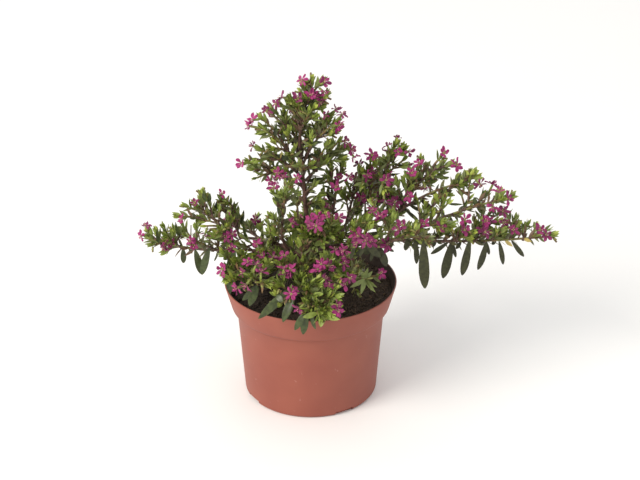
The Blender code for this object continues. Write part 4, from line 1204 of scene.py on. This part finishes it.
def flowerTurn(way, rng):
    return turnedTo(way) @ Matrix.Rotation(rng.uniform(0, math.tau), 4, "Z")


def makeFlowers():
    rng = random.Random(flowerLook["seed"])
    uses = {}     # how many flowers stand at a node
    placeSeenFlowers(uses, rng)
    placeOtherFlowers(uses, rng)
    rng = random.Random(flowerLook["seed"] + 1)
    petalPlaces = {colour: [[] for _ in range(flowerLook["shapes"])] for colour in petalColours}
    tubePlaces, mouthPlaces, spentPlaces = [], [], []
    for point, way, length, colour, size in flowers:
        turn = flowerTurn(way, rng)
        stretch = Matrix.Diagonal((1.0, 1.0, length / flowerLook["tube"], 1.0))
        tubePlaces.append(placed(point, turn @ stretch))
        mouth = point + way * length
        mouthPlaces.append(placed(mouth, turn))
        grown = Matrix.Scale(size * rng.uniform(*flowerLook["sizes"]), 4)
        petalPlaces[colour][rng.randrange(flowerLook["shapes"])].append(placed(mouth, turn @ grown))
    for point, way, length in spentFlowers:
        width = wildLook["spentWidth"]
        stretch = Matrix.Diagonal((width, width, length / flowerLook["tube"], 1.0))
        spentPlaces.append(placed(point, flowerTurn(way, rng) @ stretch))
    shapes = [petalsShape(flowerLook["seed"] + shape) for shape in range(flowerLook["shapes"])]
    for colour, sets in petalPlaces.items():
        finishCopies("petals_" + colour, zip(shapes, sets), petalMaterial(colour))
    tube = tubeShape()
    finishCopies("calyces", [(tube, tubePlaces)], plainSkin("calyx skin"))
    finishCopies("spent_calyces", [(tube, spentPlaces)], plainSkin("spent calyx skin"))
    finishCopies("stamens", [(stamensShape(), mouthPlaces)], plainSkin("stamen"))
    print("flowers:", len(flowers), "spent:", len(spentFlowers))


# Bark and twigs
barkLook = {"relief": 0.14 * mm, "ridge": 1.1 * mm, "run": 5.0 * mm, "ring": 0.16 * mm, "ringEvery": 5,
            "ringPower": 4, "leastRadius": 1 * mm, "overlap": 1.6 * mm, "footSwell": 1.15,
            "stemSpans": 36, "boughSpans": 20, "smoothing": 3}
# What a shoot of order 0, 1 or 2 has: how far it runs into its bearer, and its woody spans
twigLook = {"spans": 8, "overlap": (1.2 * mm, 0.3 * mm, 0.3 * mm), "woody": (5, 4, 0)}


def withFoot(path, back):
    # carries a path back into what bears it, so that the fork is closed
    way = (path[1] - path[0]).normalized()
    return [path[0] - way * back] + list(path)


def refine(path, radii, spans):
    # the same path and taper with more points, through a smooth curve
    shares = evenly(0, 1, spans + 1)
    places = np.array([tuple(point) for point in path])
    marks = np.linspace(0, 1, len(path))
    smooth = [Vector([np.interp(share, marks, places[:, axis]) for axis in range(3)]) for share in shares]
    for _ in range(barkLook["smoothing"]):
        inner = [(a + b * 2 + c) / 4 for a, b, c in zip(smooth[:-2], smooth[1:-1], smooth[2:])]
        smooth = [smooth[0]] + inner + [smooth[-1]]
    return smooth, [float(np.interp(share, marks, radii)) for share in shares]


def barkMaterial():
    # thin bark of a young woody stem: dull purple-brown, finely fissured along its length
    made, tree, shader, place = newMaterial("young bark", Roughness=0.72, IOR=1.45)
    stretched = addNode(tree, "ShaderNodeMapping", {"Vector": place, "Scale": (1.0, 1.0, 0.25)}).outputs[0]
    base = mottle(tree, stretched, 1.6 * mm, linear("#6e4f45"), linear("#4b342e"), 0.35, 0.65)
    tree.links.new(base, shader.inputs["Base Color"])
    roughen(tree, shader, stretched, 0.5 * mm, 0.12 * mm, 4.0)
    return made


def makeBark():
    look = barkLook
    strands = []
    for name, (path, radii) in limbs.items():
        path, radii = refine(path, radii, look["stemSpans" if name == "stem" else "boughSpans"])
        if name != "stem":
            path = withFoot(path, look["overlap"])
            radii = [radii[0] * look["footSwell"]] + radii
        for step, radius in enumerate(radii):
            bulge = (0.5 + 0.5 * math.cos(math.tau * step / look["ringEvery"])) ** look["ringPower"]
            radii[step] = radius * (1 + look["ring"] / max(radius, look["leastRadius"]) * bulge)
        strands.append((path, radii))
    mesh = tubes("bark", strands, 4)
    normals = [vertex.normal.copy() for vertex in mesh.vertices]
    for vertex, normal in zip(mesh.vertices, normals):
        x, y, z = vertex.co
        place = Vector((x / look["ridge"], y / look["ridge"], z / look["run"]))
        vertex.co += normal * noise.noise(place) * look["relief"]
    replaced = ["main_stem"] + ["bough_" + name for name in boughs]
    finishPiece("bark", mesh, [barkMaterial()], replaced)
    print("bark:", len(mesh.polygons), "faces")


def makeTwigs():
    woody, green = [], []
    for shoot in shoots:
        radii = evenly(shoot.foot, shoot.tip, len(shoot.path))
        path, radii = refine(shoot.path, radii, twigLook["spans"])
        path = withFoot(path, twigLook["overlap"][shoot.order])
        radii = [shoot.foot] + radii
        cut = twigLook["woody"][shoot.order]
        if cut:
            woody.append((path[:cut + 1], radii[:cut + 1]))
        green.append((path[cut:], radii[cut:]))
    replaced = ["foliage_" + name for name in masses]
    bark, skin = plainSkin("twig bark"), plainSkin("green twig")
    finishPiece("twigs_woody", tubes("twigs_woody", woody, 1), [bark], replaced)
    finishPiece("twigs_green", tubes("twigs_green", green, 1), [skin])
    print("twigs:", len(woody) + len(green))


# The pot: thin moulded plastic, a tapering wall under a wider collar
potLook = {"wall": 1.0 * mm, "floor": 1.4 * mm, "foot": 40.8 * mm, "footRound": 2.2 * mm, "hollow": 20 * mm,
           "wallTop": 44.8 * mm, "shoulder": 56.4 * mm, "collarFoot": 48.0 * mm, "collar": 58.0 * mm,
           "rimRound": 0.45 * mm, "innerRound": 0.36 * mm, "sharp": 40, "inward": -0.3, "steps": 160,
           "notches": 4, "firstNotch": 30, "notchWidth": 12 * mm, "notchHeight": 2.5 * mm,
           "notchDepth": 10 * mm, "notchOutside": 2.5 * mm}
# How the wall turns out under the collar, and the collar up from there: out and up in mm
shoulderBend = ((0.0, -0.6), (0.35, 0.1), (1.3, 0.65))
collarBend = ((-0.7, -0.45), (-0.1, 0.2), (0.25, 1.2))
# The inner colours are soil stain darkened further by painted shade
plastic = {"clean": ("#94503f", "#8c493a"), "stained_and_shaded": ("#4d3e34", "#3a2e27"), "scuff": "#b8877b",
           "scuffSize": 3.846 * mm, "scuffFrom": 0.69, "scuffTo": 0.78, "scuffMost": 0.55}


def arc(centre, radius, first, last, steps):
    turns = [math.radians(turn) for turn in evenly(first, last, steps + 1)]
    return [(centre[0] + radius * math.cos(t), centre[1] + radius * math.sin(t)) for t in turns]


def potWall(inset):
    # outer side from the foot up to the collar, moved inwards by inset
    look = potLook
    widening, rise = look["wallTop"] - look["foot"], look["shoulder"] - look["footRound"]
    wall = [(look["foot"] + widening * share - inset, look["footRound"] + rise * share)
            for share in (0.25, 0.5, 0.75)]
    for radius, height, bend in ((look["wallTop"], look["shoulder"], shoulderBend),
                                 (look["collarFoot"], look["collar"], collarBend)):
        wall += [(radius + out * mm - inset, height + over * mm + inset) for out, over in bend]
    return wall


def potOutline():
    look = potLook
    foot, lip, inner = look["footRound"], look["rimRound"], look["innerRound"]
    outside = arc((look["foot"] - foot, foot), foot, -90, 0, 6)
    over = arc((rimRadius - lip, rimTop - lip), lip, 0, 90, 4)
    inside = arc((rimRadius - look["wall"] + inner, rimTop - lip), inner, 90, 180, 4)
    floor = [(look["foot"] - foot, look["floor"]), (0.0, look["floor"])]
    return ([(0.0, 0.0), (look["hollow"], 0.0)] + outside + potWall(0.0) + over + inside
            + potWall(look["wall"])[::-1] + floor)


def plasticMaterial(kind):
    # terracotta-coloured polypropylene, injection moulded: satin-matt, softly scuffed by handling
    # the inner kind is soil stain with painted shade over it, and has no scuffs
    name = "terracotta polypropylene" + ("" if kind == "clean" else " soil stained")
    made, tree, shader, place = newMaterial(name, Roughness=0.54, IOR=1.49)
    first, second = plastic[kind]
    base = mottle(tree, place, 22 * mm, linear(first), linear(second), 0.3, 0.7, 2.0)
    if kind == "clean":
        scuff = addNode(tree, "ShaderNodeTexNoise", {"Vector": place, "Scale": 1 / plastic["scuffSize"],
                                                      "Detail": 4.0})
        share = addNode(tree, "ShaderNodeMapRange", {0: scuff.outputs["Fac"], 1: plastic["scuffFrom"],
                                                     2: plastic["scuffTo"], 4: plastic["scuffMost"]})
        blend = addNode(tree, "ShaderNodeMix", {0: share.outputs[0], 6: base, 7: linear(plastic["scuff"])},
                        data_type="RGBA")
        base = blend.outputs[2]
    tree.links.new(base, shader.inputs["Base Color"])
    roughen(tree, shader, place, 0.7 * mm, 0.02 * mm)
    return made


def notchCutter():
    look = potLook
    bm = bmesh.new()
    for notch in range(look["notches"]):
        turn = Matrix.Rotation(math.radians(look["firstNotch"] + 360 / look["notches"] * notch), 3, "Z")
        size = (look["notchDepth"], look["notchWidth"], look["notchHeight"] * 2)
        made = bmesh.ops.create_cube(bm, size=1.0)["verts"]
        bmesh.ops.scale(bm, verts=made, vec=size)
        bmesh.ops.translate(bm, verts=made, vec=(look["foot"] + look["notchOutside"], 0, 0))
        bmesh.ops.rotate(bm, verts=made, cent=(0, 0, 0), matrix=turn)
    return newObject("notch_cutter", meshFrom(bm, "notch_cutter"))


def makePot():
    blank = newObject("pot_blank", spinProfile("pot_shell", potOutline(), potLook["steps"]))
    cutter = notchCutter()
    cut = blank.modifiers.new("Drain notches", "BOOLEAN")
    cut.operation = "DIFFERENCE"
    cut.solver = "EXACT"
    cut.object = cutter
    shell = bakedMesh(blank)
    bpy.data.objects.remove(cutter)
    finishPiece("pot_shell", shell, [plasticMaterial("clean"), plasticMaterial("stained_and_shaded")], ["pot"])
    for face in shell.polygons:
        middle = face.center
        out = math.hypot(middle.x, middle.y)
        facing = (face.normal.x * middle.x + face.normal.y * middle.y) / max(out, tiny)
        # inward faces take the inner colours: soil stain with painted shade
        inside = facing < potLook["inward"] and middle.z > potLook["floor"]
        face.material_index = 1 if inside else 0
    shell.set_sharp_from_angle(angle=math.radians(potLook["sharp"]))
    print("pot:", len(shell.polygons), "faces")


# The soil: moist peat compost, crumbly, a little higher round the stem
# The grey and its two limits on X in soilLook are painted shade over the left of the soil and all that lies
# on it
soilLook = {"edge": 0.35 * mm, "steps": 180, "rings": 60, "lump": 6.0 * mm, "lumpHeight": 1.1 * mm,
            "crumb": 1.6 * mm, "crumbHeight": 0.55 * mm, "mound": 0.8 * mm, "moundFade": 9 * mm,
            "sunk": 0.3 * mm, "narrower": 1.5 * mm, "lower": 2 * mm, "paintedShade": "#a8a8a8",
            "paintedShadeFrom": 15 * mm, "paintedShadeTo": -25 * mm, "seed": 9}
crumbLook = {"count": 2600, "edge": 0.985, "least": 0.25, "spread": 1.1, "power": 3, "bury": 0.25,
             "shares": (72, 25, 3), "shapes": 3, "lumpy": 0.55, "lump": 1.3, "widths": (0.6, 1.0),
             "heights": (0.5, 0.9)}
fibreLook = {"count": 90, "edge": 0.93, "farthest": 0.97, "length": (2.0, 6.5), "bend": 0.7, "spans": 4,
             "over": (0.2, 0.5), "radius": (0.12, 0.28)}
soilColours = {"dark": ("#53453a", "#3d332c"), "brown": ("#665244", "#4c3e34"),
               "tan": ("#7f6a54", "#625140")}


def soilHeight(x, y):
    look = soilLook
    lumps = noise.noise(Vector((x / look["lump"], y / look["lump"], 0.3))) * look["lumpHeight"]
    crumbs = noise.turbulence(Vector((x / look["crumb"], y / look["crumb"], 1.7)), 3, False)
    mound = look["mound"] * math.exp(-math.hypot(x, y) / look["moundFade"])
    return lumps + crumbs * look["crumbHeight"] + mound - look["sunk"]


def potInner(height):
    # inner radius of the collar at a height
    share = (height - potLook["collar"]) / (rimTop - potLook["collar"])
    return potLook["collarFoot"] + (rimRadius - potLook["collarFoot"]) * share - potLook["wall"]


def soilMaterial(kind):
    # moist peat compost: dull dark brown and fibrous, with painted shade that darkens it towards the left
    first, second = soilColours[kind]
    made, tree, shader, place = newMaterial("peat compost " + kind, Roughness=0.92, IOR=1.33)
    base = mottle(tree, place, 1.4 * mm, linear(first), linear(second), 0.35, 0.65, 5.0)
    # painted shade: the colour is multiplied by the grey, fully at the left limit and fading out by the
    # right one
    parts = addNode(tree, "ShaderNodeSeparateXYZ", {0: place})
    paintedShade = addNode(tree, "ShaderNodeMapRange", {0: parts.outputs["X"], 1: soilLook["paintedShadeTo"],
                                                2: soilLook["paintedShadeFrom"], 3: 1.0, 4: 0.0})
    blend = addNode(tree, "ShaderNodeMix", {0: paintedShade.outputs[0], 6: base, 7: linear(soilLook["paintedShade"])},
                    data_type="RGBA", blend_type="MULTIPLY")
    tree.links.new(blend.outputs[2], shader.inputs["Base Color"])
    roughen(tree, shader, place, 0.5 * mm, 0.25 * mm, 6.0)
    return made


def lumpShape(seed):
    bm = bmesh.new()
    bmesh.ops.create_icosphere(bm, subdivisions=2, radius=1.0)
    for vertex in bm.verts:
        place = vertex.co * crumbLook["lump"] + Vector((seed, 0, 0))
        vertex.co *= 1 + crumbLook["lumpy"] * noise.noise(place)
    return meshFrom(bm, "lump")


def makeSoilBed(edge):
    look = soilLook
    floor = potLook["floor"] + gap
    top = [(radius, soilTop) for radius in evenly(0, edge, look["rings"] + 1)]
    below = [(potInner(potLook["collar"]) - look["edge"] - look["narrower"], potLook["collar"]),
             (potLook["wallTop"] - potLook["wall"] - look["edge"] * 2, potLook["shoulder"] - look["lower"]),
             (potLook["foot"] - potLook["footRound"], floor), (0.0, floor)]
    mesh = spinProfile("soil_bed", top + below, look["steps"])
    for vertex in mesh.vertices:
        if abs(vertex.co.z - soilTop) < tiny:
            vertex.co.z += soilHeight(vertex.co.x, vertex.co.y)
    finishPiece("soil_bed", mesh, [soilMaterial("dark")], ["soil"])
    print("soil:", len(mesh.polygons), "faces")


def makeCrumbs(edge, rng):
    look = crumbLook
    kinds = {kind: [[] for _ in range(look["shapes"])] for kind in soilColours}
    for crumb in range(look["count"]):
        out = edge * math.sqrt(rng.random()) * look["edge"]
        turn = rng.uniform(0, math.tau)
        x, y = out * math.cos(turn), out * math.sin(turn)
        size = (look["least"] + look["spread"] * rng.random() ** look["power"]) * mm
        kind = rng.choices(tuple(soilColours), look["shares"])[0]
        angle = rng.uniform(0, math.tau)
        spin = Matrix.Rotation(angle, 4, Vector((rng.random(), rng.random(), rng.random() + 0.1)))
        width, height = size * rng.uniform(*look["widths"]), size * rng.uniform(*look["heights"])
        squash = Matrix.Diagonal((size, width, height, 1.0))
        point = (x, y, soilTop + soilHeight(x, y) + size * look["bury"])
        kinds[kind][rng.randrange(look["shapes"])].append(placed(point, spin @ squash))
    shapes = [lumpShape(seed) for seed in range(look["shapes"])]
    for kind, sets in kinds.items():
        finishCopies("crumbs_" + kind, zip(shapes, sets), soilMaterial(kind))


def makeFibres(edge, rng):
    look = fibreLook
    strands = []
    for fibre in range(look["count"]):
        out = edge * math.sqrt(rng.random()) * look["edge"]
        turn, bearing = rng.uniform(0, math.tau), rng.uniform(0, math.tau)
        length = rng.uniform(*look["length"]) * mm
        bend = jitter(rng, look["bend"])
        path = []
        for step in range(look["spans"] + 1):
            reach = length * step / look["spans"]
            angle = bearing + bend * step / look["spans"]
            x = out * math.cos(turn) + reach * math.cos(angle)
            y = out * math.sin(turn) + reach * math.sin(angle)
            if math.hypot(x, y) > edge * look["farthest"]:
                break
            path.append(Vector((x, y, soilTop + soilHeight(x, y) + rng.uniform(*look["over"]) * mm)))
        if len(path) > 2:
            strands.append((path, [rng.uniform(*look["radius"]) * mm] * len(path)))
    finishPiece("soil_fibres", tubes("soil_fibres", strands, 1), [soilMaterial("tan")])


def makeSoil():
    edge = potInner(soilTop) - soilLook["edge"]
    rng = random.Random(soilLook["seed"])
    makeSoilBed(edge)
    makeCrumbs(edge, rng)
    makeFibres(edge, rng)


# A plain pale floor and soft studio light
studio = {"floor": "#f6f5f3", "floorSize": 6.0, "world": "#ffffff", "worldStrength": 0.80,
          "aim": Vector((0.02, 0.0, 0.1))}
lights = {"key": {"place": Vector((-1.2, -0.9, 1.2)), "size": 0.9, "power": 28.0, "colour": "#fffaf2"},
          "fill": {"place": Vector((1.3, -0.7, 0.9)), "size": 1.3, "power": 1.0, "colour": "#eef4ff"},
          "back": {"place": Vector((0.2, 1.3, 1.4)), "size": 1.2, "power": 3.0, "colour": "#ffffff"}}


def setStudio():
    scene = bpy.context.scene
    scene.view_settings.view_transform = "Standard"
    scene.world = bpy.data.worlds.new("studio")
    scene.world.use_nodes = True
    sky = scene.world.node_tree.nodes["Background"]
    sky.inputs["Color"].default_value = linear(studio["world"])
    sky.inputs["Strength"].default_value = studio["worldStrength"]
    for name, look in lights.items():
        data = bpy.data.lights.new(name, "AREA")
        data.size = look["size"]
        data.energy = look["power"]
        data.color = linear(look["colour"])[:3]
        lamp = newObject(name, data)
        lamp.location = look["place"]
        lamp.rotation_euler = (studio["aim"] - look["place"]).to_track_quat("-Z", "Y").to_euler()
    bm = bmesh.new()
    bmesh.ops.create_grid(bm, x_segments=1, y_segments=1, size=studio["floorSize"])
    floor = newObject("floor", meshFrom(bm, "floor"))
    # matt paper, which gives no gleam
    paper = newMaterial("pale studio paper", Roughness=0.9, Base_Color=linear(studio["floor"]))[0]
    floor.data.materials.append(paper)


setCamera()
growShrub()
makeLeaves()
makeFlowers()
makeBark()
makeTwigs()
makePot()
makeSoil()
setStudio()
